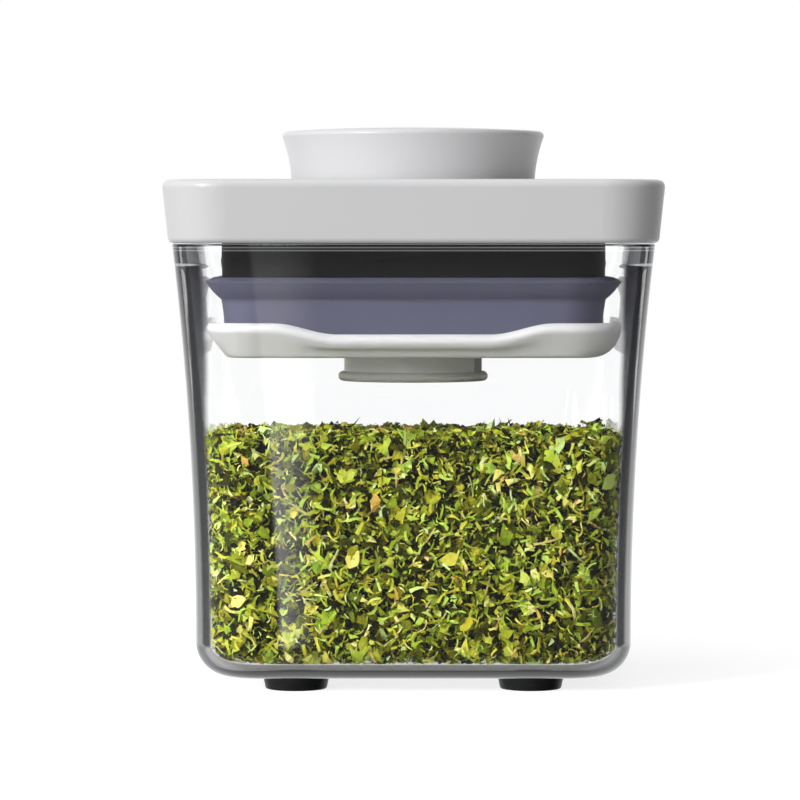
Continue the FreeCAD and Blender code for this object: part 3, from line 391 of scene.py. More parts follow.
@dataclass(frozen=True)
class ClearFinish:
    """Clear moulded plastic, polished and faintly rippled, with painted shade and painted reflection: dark
    and light bands in its colour where its corners turn away, and a painted glow at those edges.
    """

    # Marks noted on the mesh for the painted dark bands (edge reach and depth) and for the painted glow (edge
    # glow, glow reach, rim glow).
    EDGE_REACH = "edge_reach"
    EDGE_DEPTH = "edge_depth"
    EDGE_GLOW = "edge_glow"
    GLOW_REACH = "glow_reach"
    RIM_GLOW = "rim_glow"
    MARKS = (EDGE_REACH, EDGE_DEPTH, EDGE_GLOW, GLOW_REACH, RIM_GLOW)

    name: str
    colour: Colour = (0.985, 0.988, 0.992)
    roughness: float = 0.012
    ior: float = 1.5
    shine: float = 0.25
    ripple: float = 0.004
    wobble: float = 0.16
    streak_scale: float = 260.0
    streak_squash: float = 0.14
    zone_end: float = 0.93
    line_end: tuple[float, float] = (0.75, 1.15)
    line_start: tuple[float, float] = (0.12, 0.35)
    facing_limits: tuple[float, float] = (0.4, 0.9)
    corner_share: float = 0.22
    led_colour: Colour = (0.96, 0.98, 1.0)
    faded: Colour = (0.10, 0.104, 0.112)
    bands: tuple[tuple[float, Colour], ...] = (
        (0.00, (0.050, 0.052, 0.056)),
        (0.19, (0.078, 0.080, 0.086)),
        (0.26, (0.190, 0.193, 0.200)),
        (0.31, (0.006, 0.006, 0.008)),
        (0.50, (0.003, 0.003, 0.004)),
        (0.70, (0.0025, 0.0025, 0.0035)),
        (0.76, (0.020, 0.021, 0.024)),
        (0.83, (0.170, 0.173, 0.180)),
        (0.91, (0.600, 0.605, 0.615)),
        (1.00, (0.850, 0.855, 0.860)),
    )

    def turned(self, sheet: NodeSheet) -> Socket:
        """How far round a turning edge a spot lies: 0 at the outline, 1 where it faces the eye.

        Args:
            sheet: The material's sheet.

        Returns:
            The place round the edge.
        """
        facing = sheet.add("ShaderNodeLayerWeight", {"Blend": 0.5}).outputs["Facing"]
        across = sheet.math("SUBTRACT", 1.0, facing)
        inward = sheet.math("SUBTRACT", 1.0, sheet.times(across, across), clamp=True)
        return sheet.math("SUBTRACT", 1.0, sheet.math("SQRT", inward))

    def side_on(self, sheet: NodeSheet) -> Socket:
        """1 where a side of the jar is seen edge-on, less where both sides of a corner face the eye.

        Args:
            sheet: The material's sheet.

        Returns:
            The share.
        """
        facings = []
        for axis in "XY":
            across = sheet.add("ShaderNodeCombineXYZ", {axis: 1.0}).outputs[0]
            facing = sheet.add("ShaderNodeLayerWeight", {"Blend": 0.5, "Normal": across})
            facings.append(facing.outputs["Facing"])
        return sheet.spread(sheet.math("MAXIMUM", *facings), *self.facing_limits, self.corner_share, 1.0)

    def glow(self, sheet: NodeSheet) -> Socket:
        """How strong the painted glow is: emission at turning edges and along the rim's ridges, where no lamp
        is.

        Args:
            sheet: The material's sheet.

        Returns:
            The light's strength.
        """
        reach = sheet.math("MAXIMUM", sheet.noted(self.GLOW_REACH), 0.001)
        share = sheet.math("DIVIDE", self.turned(sheet), reach)
        inner = sheet.spread(share, *self.line_end, 1.0, 0.0)
        outline = sheet.spread(share, 0.0, *self.line_start, 1.0)
        edge = sheet.times(inner, outline, sheet.noted(self.EDGE_GLOW))
        entering = sheet.math("SUBTRACT", 1.0, sheet.add("ShaderNodeNewGeometry").outputs["Backfacing"])
        return sheet.times(sheet.math("ADD", edge, sheet.noted(self.RIM_GLOW)), entering)

    def edge_place(self, sheet: NodeSheet, place: object) -> Socket:
        """Where a spot lies across a corner's painted dark zone: 0 at the outline, 1 where the zone ends.

        Args:
            sheet: The material's sheet.
            place: The spot's place on the object.

        Returns:
            The place across the zone, past 1 where there is no zone or the light is on its way out.
        """
        reach = sheet.times(sheet.noted(self.EDGE_REACH), self.side_on(sheet))
        share = sheet.math("DIVIDE", self.turned(sheet), sheet.math("MAXIMUM", reach, 0.001))
        squashed = {"Vector": place, "Scale": (1.0, 1.0, self.streak_squash)}
        drawn = sheet.add("ShaderNodeMapping", squashed).outputs[0]
        streaks = sheet.noise(drawn, self.streak_scale, 3.0)
        sway = sheet.swing(streaks, -self.wobble / 2, self.wobble / 2)
        leaving = sheet.add("ShaderNodeNewGeometry").outputs["Backfacing"]
        return sheet.math("ADD", sheet.math("ADD", share, sway), sheet.times(leaving, 2.0))

    def build(self) -> bpy.types.Material:
        """Make the material.

        Returns:
            The material.
        """
        material, sheet, shader = new_material(self.name)
        place = sheet.place()
        haze = sheet.noise(place, 60.0, 3.0)
        pale = tuple(min(1.0, c * 1.01) for c in self.colour)
        across = self.edge_place(sheet, place)
        # Painted shade and painted reflection: the base colour goes dark and light in bands across each
        # turning corner, dimmer where the zone is deep.
        banded = sheet.blend(sheet.noted(self.EDGE_DEPTH), self.faded, sheet.ramp(across, self.bands))
        ends = sheet.spread(across, self.zone_end, 1.0, 0.0, 1.0)
        # Painted glow: the glass gives off light at its turning edges and rim ridges, though no lamp is
        # there.
        glow = {0: self.led_colour, "Scale": self.glow(sheet)}
        inputs = {
            "Base Color": sheet.blend(ends, banded, sheet.blend(haze, self.colour, pale)),
            "Roughness": sheet.swing(haze, 0.0, self.roughness),
            "Metallic": 0.0,
            "Transmission Weight": 1.0,
            "IOR": self.ior,
            "Specular IOR Level": self.shine,
            "Emission Color": sheet.add("ShaderNodeVectorMath", glow, operation="SCALE").outputs[0],
            "Emission Strength": 1.0,
            "Normal": sheet.bump(sheet.noise(place, 35.0, 1.0), self.ripple),
        }
        sheet.fill(shader, inputs)
        return material


@dataclass(frozen=True)
class MetalFinish:
    """Plated or drawn steel with fine lines along its length and dull spots."""

    name: str
    colour: Colour = (0.62, 0.61, 0.59)
    roughness: float = 0.28
    dullness: float = 0.82
    line_scale: float = 500.0
    line_stretch: float = 14.0
    line_depth: float = 0.01

    def build(self) -> bpy.types.Material:
        """Make the material.

        Returns:
            The material.
        """
        material, sheet, shader = new_material(self.name)
        along = {"Vector": sheet.place(), "Scale": (1.0, 1.0, self.line_stretch)}
        lines = sheet.noise(sheet.add("ShaderNodeMapping", along).outputs[0], self.line_scale, 3.0)
        dull = tuple(c * self.dullness for c in self.colour)
        inputs = {
            "Base Color": sheet.blend(lines, self.colour, dull),
            "Roughness": sheet.swing(lines, self.roughness * 0.8, self.roughness * 1.3),
            "Metallic": 1.0,
            "Normal": sheet.bump(lines, self.line_depth),
        }
        sheet.fill(shader, inputs)
        return material


@dataclass(frozen=True)
class HerbFinish:
    """Dried herb: each bit takes its own tone from the stops and its own cast, with veins and blotches;
    deeper bits carry painted shade in their tone.
    """

    name: str
    stops: tuple[tuple[float, Colour], ...]
    blotch: float = 0.35
    roughness: float = 0.6
    greener: Colour = (0.76, 1.0, 1.0)
    redder: Colour = (1.06, 0.92, 0.8)
    hue_turns: float = 41.0
    blotch_scale: float = 900.0
    vein_scale: float = 2600.0
    vein_depth: float = 0.06

    def build(self) -> bpy.types.Material:
        """Make the material.

        Returns:
            The material.
        """
        material, sheet, shader = new_material(self.name)
        tone, place = sheet.noted(HerbFill.TONE), sheet.place()
        blotches = sheet.noise(place, self.blotch_scale, 3.0)
        blotching = sheet.swing(blotches, -self.blotch / 2, self.blotch / 2)
        colour = sheet.ramp(sheet.math("ADD", tone, blotching, clamp=True), self.stops)
        hue = sheet.math("FRACT", sheet.times(tone, self.hue_turns))
        cast = sheet.blend(sheet.spread(hue, 0.15, 0.85, 0.0, 1.0), self.greener, self.redder)
        both = sheet.add("ShaderNodeVectorMath", {0: colour, 1: cast}, operation="MULTIPLY")
        inputs = {
            "Base Color": both.outputs[0],
            "Roughness": sheet.swing(blotches, self.roughness, self.roughness + 0.2),
            "Specular IOR Level": 0.0,
            "Normal": sheet.bump(sheet.noise(place, self.vein_scale), self.vein_depth),
        }
        sheet.fill(shader, inputs)
        return material


class Finish(Enum):
    """Every finish on the object."""

    LID_WHITE = MouldedFinish("lid_white_plastic", (0.775, 0.775, 0.785), 0.33, 0.012, 0.004, 1400.0, 0.03)
    JAR_CLEAR = ClearFinish("jar_clear_plastic")
    FOOT_RUBBER = MouldedFinish("foot_black_rubber", (0.013, 0.013, 0.014), 0.42, 0.25, 0.02, 1100.0, 0.0)
    CHARCOAL = MouldedFinish(
        "carrier_charcoal_plastic", (0.013, 0.012, 0.012), 0.5, 0.15, 0.002, 1500.0, 0.02, 0.04
    )
    SILICONE = MouldedFinish(
        "gasket_blue_grey_silicone", (0.135, 0.135, 0.2), 0.5, 0.06, 0.002, 1600.0, 0.04, 0.12
    )
    TRAY_WHITE = MouldedFinish("tray_white_plastic", (0.80, 0.80, 0.79), 0.4, 0.015, 0.006, 1300.0, 0.02)
    MOUNT_GREY = MouldedFinish("mount_grey_plastic", (0.92, 0.92, 0.91), 0.38, 0.03, 0.006, 1500.0, 0.03)
    ACETAL = MouldedFinish("mechanism_acetal", (0.7, 0.69, 0.66), 0.36, 0.02, 0.008, 1300.0, 0.0)
    SEAL_RUBBER = MouldedFinish("seal_black_rubber", (0.02, 0.02, 0.022), 0.5, 0.2, 0.01, 1500.0, 0.0)
    STEEL = MetalFinish("plated_steel")
    LEAF = HerbFinish(
        "dried_leaf",
        (
            (0.0, (0.010, 0.009, 0.0006)),
            (0.16, (0.040, 0.040, 0.002)),
            (0.32, (0.17, 0.175, 0.008)),
            (0.46, (0.37, 0.385, 0.02)),
            (0.54, (0.42, 0.50, 0.040)),
            (0.62, (0.58, 0.56, 0.035)),
            (0.70, (0.56, 0.66, 0.080)),
            (0.80, (0.80, 0.80, 0.12)),
            (0.90, (0.90, 0.92, 0.30)),
            (0.955, (0.94, 0.94, 0.48)),
            (0.965, (0.62, 0.40, 0.07)),
            (1.0, (0.72, 0.54, 0.13)),
        ),
        0.1,
    )
    STEM = HerbFinish(
        "dried_stem",
        (
            (0.0, (0.46, 0.46, 0.12)),
            (0.5, (0.70, 0.68, 0.26)),
            (0.9, (0.76, 0.64, 0.24)),
            (1.0, (0.60, 0.36, 0.12)),
        ),
        0.2,
    )
    # Painted shade: the core's crumbs are near black to stand for the shade in the gaps between the bits.
    CRUMBS = HerbFinish(
        "herb_crumbs",
        (
            (0.0, (0.006, 0.005, 0.001)),
            (0.6, (0.015, 0.013, 0.002)),
            (1.0, (0.04, 0.036, 0.006)),
        ),
        1.2,
    )

    def material(self) -> bpy.types.Material:
        """The finish's material, made on its first use."""
        return bpy.data.materials.get(self.value.name) or self.value.build()


# ---------- Meshes ----------


@dataclass(frozen=True)
class Level:
    """A level outline of a square piece: its height, its half width and its corner radius, in mm."""

    height: float
    half: float
    corner: float

    def points(self, corner_steps: int, side_steps: int) -> np.ndarray:
        """The outline's points, anticlockwise seen from above, in mm.

        Args:
            corner_steps: How many steps each corner takes.
            side_steps: How many steps each side takes.

        Returns:
            An array of points.
        """
        corner = max(self.corner, 0.01)
        inner = self.half - corner
        turns = np.linspace(0, math.pi / 2, corner_steps + 1)
        arc = np.stack([inner + corner * np.cos(turns), inner + corner * np.sin(turns)], axis=1)
        side = np.linspace(arc[-1], (-arc[-1][0], arc[-1][1]), side_steps + 1)[1:-1]
        quarter = np.concatenate([arc, side])
        quarters = [quarter]
        for _ in range(3):
            quarters.append(np.stack([-quarters[-1][:, 1], quarters[-1][:, 0]], axis=1))
        flat = np.concatenate(quarters)
        return np.column_stack([flat, np.full(len(flat), self.height)])


def rounded(
    centre: tuple[float, float], radius: float, start: float, stop: float, steps: int
) -> list[tuple[float, float]]:
    """Points of an arc in a section, from one angle in degrees to another, as half width and height."""
    turns = np.radians(np.linspace(start, stop, steps + 1))
    return [(centre[0] + radius * math.cos(t), centre[1] + radius * math.sin(t)) for t in turns]


def outset(section: Sequence[tuple[float, float]], half: float, corner: float) -> list[Level]:
    """Level outlines along a section, each as far outside a half width and a corner as it says."""
    return [Level(height, half + reach, corner + reach) for reach, height in section]


def softened(corners: Sequence[tuple[float, float, float]], steps: int = 6) -> np.ndarray:
    """A section's outline with its corners rounded.

    Args:
        corners: Each corner's place across and up, and its radius.
        steps: How many steps each rounded corner takes.

    Returns:
        The outline's points.
    """
    made = []
    for index, (x, y, radius) in enumerate(corners):
        here = np.array((x, y))
        if radius == 0:
            made.append(here)
            continue
        before, after = (np.array(corners[index + turn][:2]) - here for turn in (-1, 1))
        before, after = before / np.linalg.norm(before), after / np.linalg.norm(after)
        half_angle = math.acos(float(np.clip(before @ after, -1, 1))) / 2
        middle = (before + after) / np.linalg.norm(before + after)
        centre = here + middle * radius / math.sin(half_angle)
        start = here + before * radius / math.tan(half_angle) - centre
        stop = here + after * radius / math.tan(half_angle) - centre
        turn = math.pi - 2 * half_angle
        for share in np.linspace(0, 1, steps + 1):
            spoke = start * math.sin((1 - share) * turn) + stop * math.sin(share * turn)
            made.append(centre + spoke / math.sin(turn))
    return np.array(made)


def eased(share: float) -> float:
    """A share from 0 to 1 that starts and ends softly."""
    return share * share * (3 - 2 * share)


def evened(points: np.ndarray, count: int) -> np.ndarray:
    """The same outline through a given number of evenly spaced points.

    Args:
        points: The outline's points.
        count: How many points to give.

    Returns:
        The new points.
    """
    gone = np.concatenate([[0.0], np.cumsum(np.linalg.norm(np.diff(points, axis=0), axis=1))])
    places = np.linspace(0, gone[-1], count)
    return np.stack([np.interp(places, gone, points[:, axis]) for axis in (0, 1)], axis=1)


def quads(rows: int, count: int, ring: bool = False, loose: bool = False) -> list[tuple[int, ...]]:
    """The faces between rows of points.

    Args:
        rows: How many rows there are.
        count: How many points each row has.
        ring: Whether the last row joins the first.
        loose: Whether the rows are open; if not, each is a closed loop.

    Returns:
        The faces, by the numbers of their points.
    """
    faces = []
    for row in range(rows if ring else rows - 1):
        low, high = row * count, (row + 1) % rows * count
        for step in range(count - 1 if loose else count):
            following = (step + 1) % count
            faces.append((low + step, low + following, high + following, high + step))
    return faces


def meshed(name: str, points: np.ndarray, faces: Sequence[tuple[int, ...]]) -> bpy.types.Mesh:
    """A mesh of points, in metres, and faces.

    Args:
        name: The mesh's name.
        points: Its points.
        faces: Its faces, by the numbers of their points.

    Returns:
        The mesh.
    """
    mesh = bpy.data.meshes.new(name)
    mesh.from_pydata(points.tolist(), [], faces)
    mesh.update()
    return mesh


def places(mesh: bpy.types.Mesh) -> np.ndarray:
    """The mesh's points in metres, one to a row.

    Args:
        mesh: The mesh.

    Returns:
        An array of points.
    """
    flat = np.empty(len(mesh.vertices) * 3, np.float32)
    mesh.vertices.foreach_get("co", flat)
    return flat.reshape(-1, 3)


def grown(name: str, start: bpy.types.Mesh, tree: bpy.types.NodeTree, inputs: dict) -> bpy.types.Mesh:
    """Run a geometry tree on a mesh and keep the outcome as a plain mesh.

    Args:
        name: The piece's name.
        start: The mesh that goes into the tree.
        tree: The tree.
        inputs: The tree's inputs by name.

    Returns:
        The outcome, with no modifier left.
    """
    carrier = bpy.data.objects.new(f"{name}_carrier", start)
    bpy.context.scene.collection.objects.link(carrier)
    modifier = carrier.modifiers.new("tree", "NODES")
    modifier.node_group = tree
    for item in tree.interface.items_tree:
        if item.item_type == "SOCKET" and item.in_out == "INPUT" and item.name in inputs:
            modifier[item.identifier] = inputs[item.name]
    graph = bpy.context.evaluated_depsgraph_get()
    mesh = bpy.data.meshes.new_from_object(
        carrier.evaluated_get(graph), preserve_all_data_layers=True, depsgraph=graph
    )
    bpy.data.objects.remove(carrier)
    return mesh


def new_object(name: str, mesh: bpy.types.Mesh, finish: Finish, smooth: bool = True) -> bpy.types.Object:
    """Put a finished mesh in the scene.

    Args:
        name: The piece's name.
        mesh: The piece's mesh, in metres.
        finish: Its finish.
        smooth: Whether its faces are shaded smooth.

    Returns:
        The piece.
    """
    mesh.name = name
    mesh.materials.clear()
    mesh.materials.append(finish.material())
    mesh.polygons.foreach_set("use_smooth", np.full(len(mesh.polygons), smooth))
    piece = bpy.data.objects.new(name, mesh)
    bpy.context.scene.collection.objects.link(piece)
    return piece


def skin(
    name: str, levels: Sequence[Level], corner_steps: int, side_steps: int, ring: bool = False
) -> bpy.types.Mesh:
    """Stretch a closed skin over a stack of level outlines.

    Args:
        name: The mesh's name.
        levels: The outlines, in the order that the skin follows.
        corner_steps: How many steps each corner takes.
        side_steps: How many steps each side takes.
        ring: Whether the last outline joins the first; if not, both ends are closed.

    Returns:
        The mesh, in metres.
    """
    return lofted(name, [level.points(corner_steps, side_steps) for level in levels], ring)


def lofted(name: str, loops: Sequence[np.ndarray], ring: bool = False) -> bpy.types.Mesh:
    """Stretch a closed skin over loops with as many points each.

    Args:
        name: The mesh's name.
        loops: The loops' points in mm, in the order that the skin follows.
        ring: Whether the last loop joins the first; if not, both ends are closed.

    Returns:
        The mesh, in metres.
    """
    count = len(loops[0])
    points = np.concatenate(loops)
    faces = quads(len(loops), count, ring)
    if not ring:
        first_pole, last_pole = len(points), len(points) + 1
        points = np.concatenate([points, [loops[0].mean(axis=0), loops[-1].mean(axis=0)]])
        top = (len(loops) - 1) * count
        for step in range(count):
            following = (step + 1) % count
            faces += [(first_pole, following, step), (last_pole, top + step, top + following)]
    return meshed(name, points * MM, faces)


# ---------- Jar ----------


@dataclass
class Jar:
    """The clear jar: upright low down, flared to its rim, with a step in its inner corners. All in mm."""

    base: float = 2.4
    rim: float = 72.8
    base_half: float = 35.5
    flare: float = 3.43
    flare_power: float = 2.0
    upright: float = 8.0
    base_corner: float = 11.0
    rim_corner: float = 8.0
    wall: float = 2.2
    floor: float = 2.2
    base_round: float = 5.6
    ledge_depth: float = 3.4
    ledge_step: float = 0.2
    ledge_profile: tuple[tuple[float, float], ...] = (
        (1.8, 1.0),
        (0.6, 1.0),
        (0.35, 0.9),
        (0.1, 0.62),
        (-0.1, 0.38),
        (-0.35, 0.1),
        (-0.6, 0.0),
    )
    # Strengths of the painted glow at the base, at the ledge, low and high on the wall, and on the rim's
    # ridges.
    base_glow: tuple[float, float] = (0.11, 0.24)
    ledge_glow: tuple[float, float] = (0.4, 0.42)
    low_glow: float = 0.22
    high_glow: float = 0.08
    glow_reach: float = 0.1
    ridge_glow: float = 0.2
    ridge_half: float = 0.13
    rim_ridges: tuple[float, ...] = (0.08, 0.62, 1.1)
    edge_round: float = 0.3
    corner_steps: int = 18
    side_steps: int = 12
    # Reach and depth of the painted dark bands at the corners, low on the wall, up high and round the base.
    low_zone: float = 0.23
    high_zone: float = 0.375
    base_zone: float = 0.12
    low_depth: float = 0.35
    rim_depth: float = 0.3
    base_depth: float = 0.25

    @property
    def ledge(self) -> float:
        """The height of the step in the inner corners."""
        return self.rim - self.ledge_depth

    def wall_at(self, height: float | np.ndarray, inset: float) -> Level:
        """The jar's outline at a height or at each of many, inset from the outside.

        Args:
            height: The height or heights in mm.
            inset: How far in the outline lies.

        Returns:
            The outline.
        """
        upright_top = self.base + self.upright
        share = np.clip((height - upright_top) / (self.rim - upright_top), 0, 1)
        half = self.base_half + self.flare * share**self.flare_power - inset
        corner = self.base_corner + (self.rim_corner - self.base_corner) * share - inset
        return Level(height, half, corner)

    @property
    def flat_part(self) -> tuple[float, float]:
        """The half width and the corner of the base's flat part."""
        return self.base_half - self.base_round, self.base_corner - self.base_round

    def floor_levels(self, height: float, shares: Sequence[float]) -> list[Level]:
        """Ever smaller or larger outlines of a flat floor, by shares of its width."""
        flat, corner = self.flat_part
        return [Level(height, flat * share, corner * share) for share in shares]

    def outside_levels(self) -> list[Level]:
        """The outlines from the middle of the base, out and up to the rim's outer edge.

        Returns:
            The outlines in order.
        """
        bottom, top = self.base + self.base_round, self.rim - self.edge_round
        made = self.floor_levels(self.base, (0.2, 0.4, 0.6, 0.8))
        made += outset(rounded((0.0, bottom), self.base_round, -90, 0, 12), *self.flat_part)
        heights = set(np.linspace(bottom, top, 34)[1:].round(3))
        heights |= {round(self.ledge + off, 3) for off in (-0.3, -0.09, 0.09, 0.3)}
        heights |= {round(self.rim - drop + off, 3) for drop in self.rim_ridges for off in (-0.15, 0.0, 0.15)}
        made += [self.wall_at(height, 0.0) for height in sorted(heights) if height <= top]
        rim = self.wall_at(self.rim, 0.0)
        return made + outset(
            rounded((-self.edge_round, top), self.edge_round, 15, 90, 5), rim.half, rim.corner
        )

    def inside_levels(self) -> list[Level]:
        """The outlines from the rim's inner edge, down over the corner steps to the middle of the floor.

        Returns:
            The outlines in order.
        """
        rim, top = self.wall_at(self.rim, 0.0), self.rim - self.edge_round
        edge = rounded((self.edge_round - self.wall, top), self.edge_round, 90, 180, 6)
        made = outset(edge, rim.half, rim.corner - self.ledge_step)
        for off, share in self.ledge_profile:
            inner = self.wall_at(self.ledge + off, self.wall)
            made.append(Level(inner.height, inner.half, inner.corner - self.ledge_step * share))
        inner_round = self.base_round - self.wall
        floor_top = self.base + self.floor
        for height in np.linspace(self.ledge - 1.5, floor_top + inner_round, 34):
            made.append(self.wall_at(height, self.wall))
        fillet = rounded((0.0, floor_top + inner_round), inner_round, 0, -90, 12)[1:]
        made += outset(fillet, *self.flat_part)
        return made + self.floor_levels(floor_top, (0.8, 0.6, 0.4, 0.2))

    def zone_at(self, height: float) -> tuple[float, float, float]:
        """The painted dark zone of the turning edges at a height of the outside.

        Args:
            height: The height in mm.

        Returns:
            How far the zone reaches round a corner and round a side, and how deep its tone is.
        """
        fillet_top = self.base + self.base_round
        if height < fillet_top - 0.01:
            return self.base_zone, self.base_zone, self.base_depth
        share = min(max((height - fillet_top) / (self.ledge - fillet_top), 0.0), 1.0)
        corner = self.low_zone + self.high_zone * share**2
        depth = self.low_depth + (1 - self.low_depth) * share**0.8
        return corner, 0.0, self.rim_depth if height > self.ledge else depth

    def glow_at(self, height: float) -> tuple[float, float, float]:
        """The painted glow, an emission, at a height of the outside.

        Args:
            height: The height in mm.

        Returns:
            How strong it is at the turning edges, how far round it reaches, and how strong it is all round.
        """
        fillet_top = self.base + self.base_round
        if height < fillet_top - 0.01:
            return *self.base_glow, 0.0
        if abs(height - self.ledge) < 0.1:
            return *self.ledge_glow, 0.0
        share = (height - fillet_top) / (self.rim - fillet_top)
        edge = self.low_glow + (self.high_glow - self.low_glow) * share
        off_ridge = min(abs(height - self.rim + drop) for drop in self.rim_ridges)
        return edge, self.glow_reach, self.ridge_glow * max(0.0, 1 - off_ridge / self.ridge_half)

    def mark_edges(self, mesh: bpy.types.Mesh, outside: Sequence[Level]) -> None:
        """Note on each outer point where the painted dark bands and the painted glow reach.

        Args:
            mesh: The jar's mesh, whose first points are the outside's.
            outside: The outside's outlines.
        """
        quarter = self.corner_steps + self.side_steps
        on_arc = np.arange(4 * quarter) % quarter <= self.corner_steps
        noted = {name: np.zeros(len(mesh.vertices), np.float32) for name in ClearFinish.MARKS}
        for row, level in enumerate(outside):
            corner, side, tone = self.zone_at(level.height)
            values = (np.where(on_arc, corner, side), tone, *self.glow_at(level.height))
            points = slice(row * 4 * quarter, (row + 1) * 4 * quarter)
            for name, value in zip(ClearFinish.MARKS, values):
                noted[name][points] = value
        for name, values in noted.items():
            mesh.attributes.new(name, "FLOAT", "POINT").data.foreach_set("value", values)

    def build(self) -> bpy.types.Object:
        """Make the jar.

        Returns:
            The piece, which stands for the CAD jar.
        """
        outside = self.outside_levels()
        mesh = skin("jar_clear", outside + self.inside_levels(), self.corner_steps, self.side_steps)
        self.mark_edges(mesh, outside)
        piece = new_object("jar_clear", mesh, Finish.JAR_CLEAR)
        piece.visible_shadow = False
        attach(piece, "root")
        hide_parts("jar")
        return piece


# ---------- Herbs ----------


@dataclass(frozen=True)
class Strewing:
    """How one kind of bit is strewn, in mm. Where there are two values, the second is the top's."""

    kind: str
    finish: Finish
    count: int
    density: tuple[float, float]
    depth: tuple[float, float]
    sizes: tuple[float, float]
    tilt: tuple[float, float]
    seed_step: int
    palest: float = 0.0
    # The painted shade of the deepest bits, as a share of their tone.
    darkest: tuple[float, float] = (0.2, 0.75)

    def inputs(self, shelf: bpy.types.Collection, on_top: bool, seed: int) -> dict:
        """What the scatter tree is given on one surface.

        Args:
            shelf: The bits.
            on_top: Whether the surface is the herbs' top.
            seed: The surface's own seed.

        Returns:
            Each input by name.
        """
        return {
            "Bits": shelf,
            "Bit Count": self.count,
            "Density": self.density[on_top] / MM**2,
            "Depth": self.depth[on_top] * MM,
            "Smallest": self.sizes[0] * MM,
            "Largest": self.sizes[1] * MM,
            "Tilt": self.tilt[on_top],
            "Palest": self.palest,
            "Darkest": self.darkest[on_top],
            "Seed": seed + self.seed_step,
            "Finish": self.finish.material(),
        }


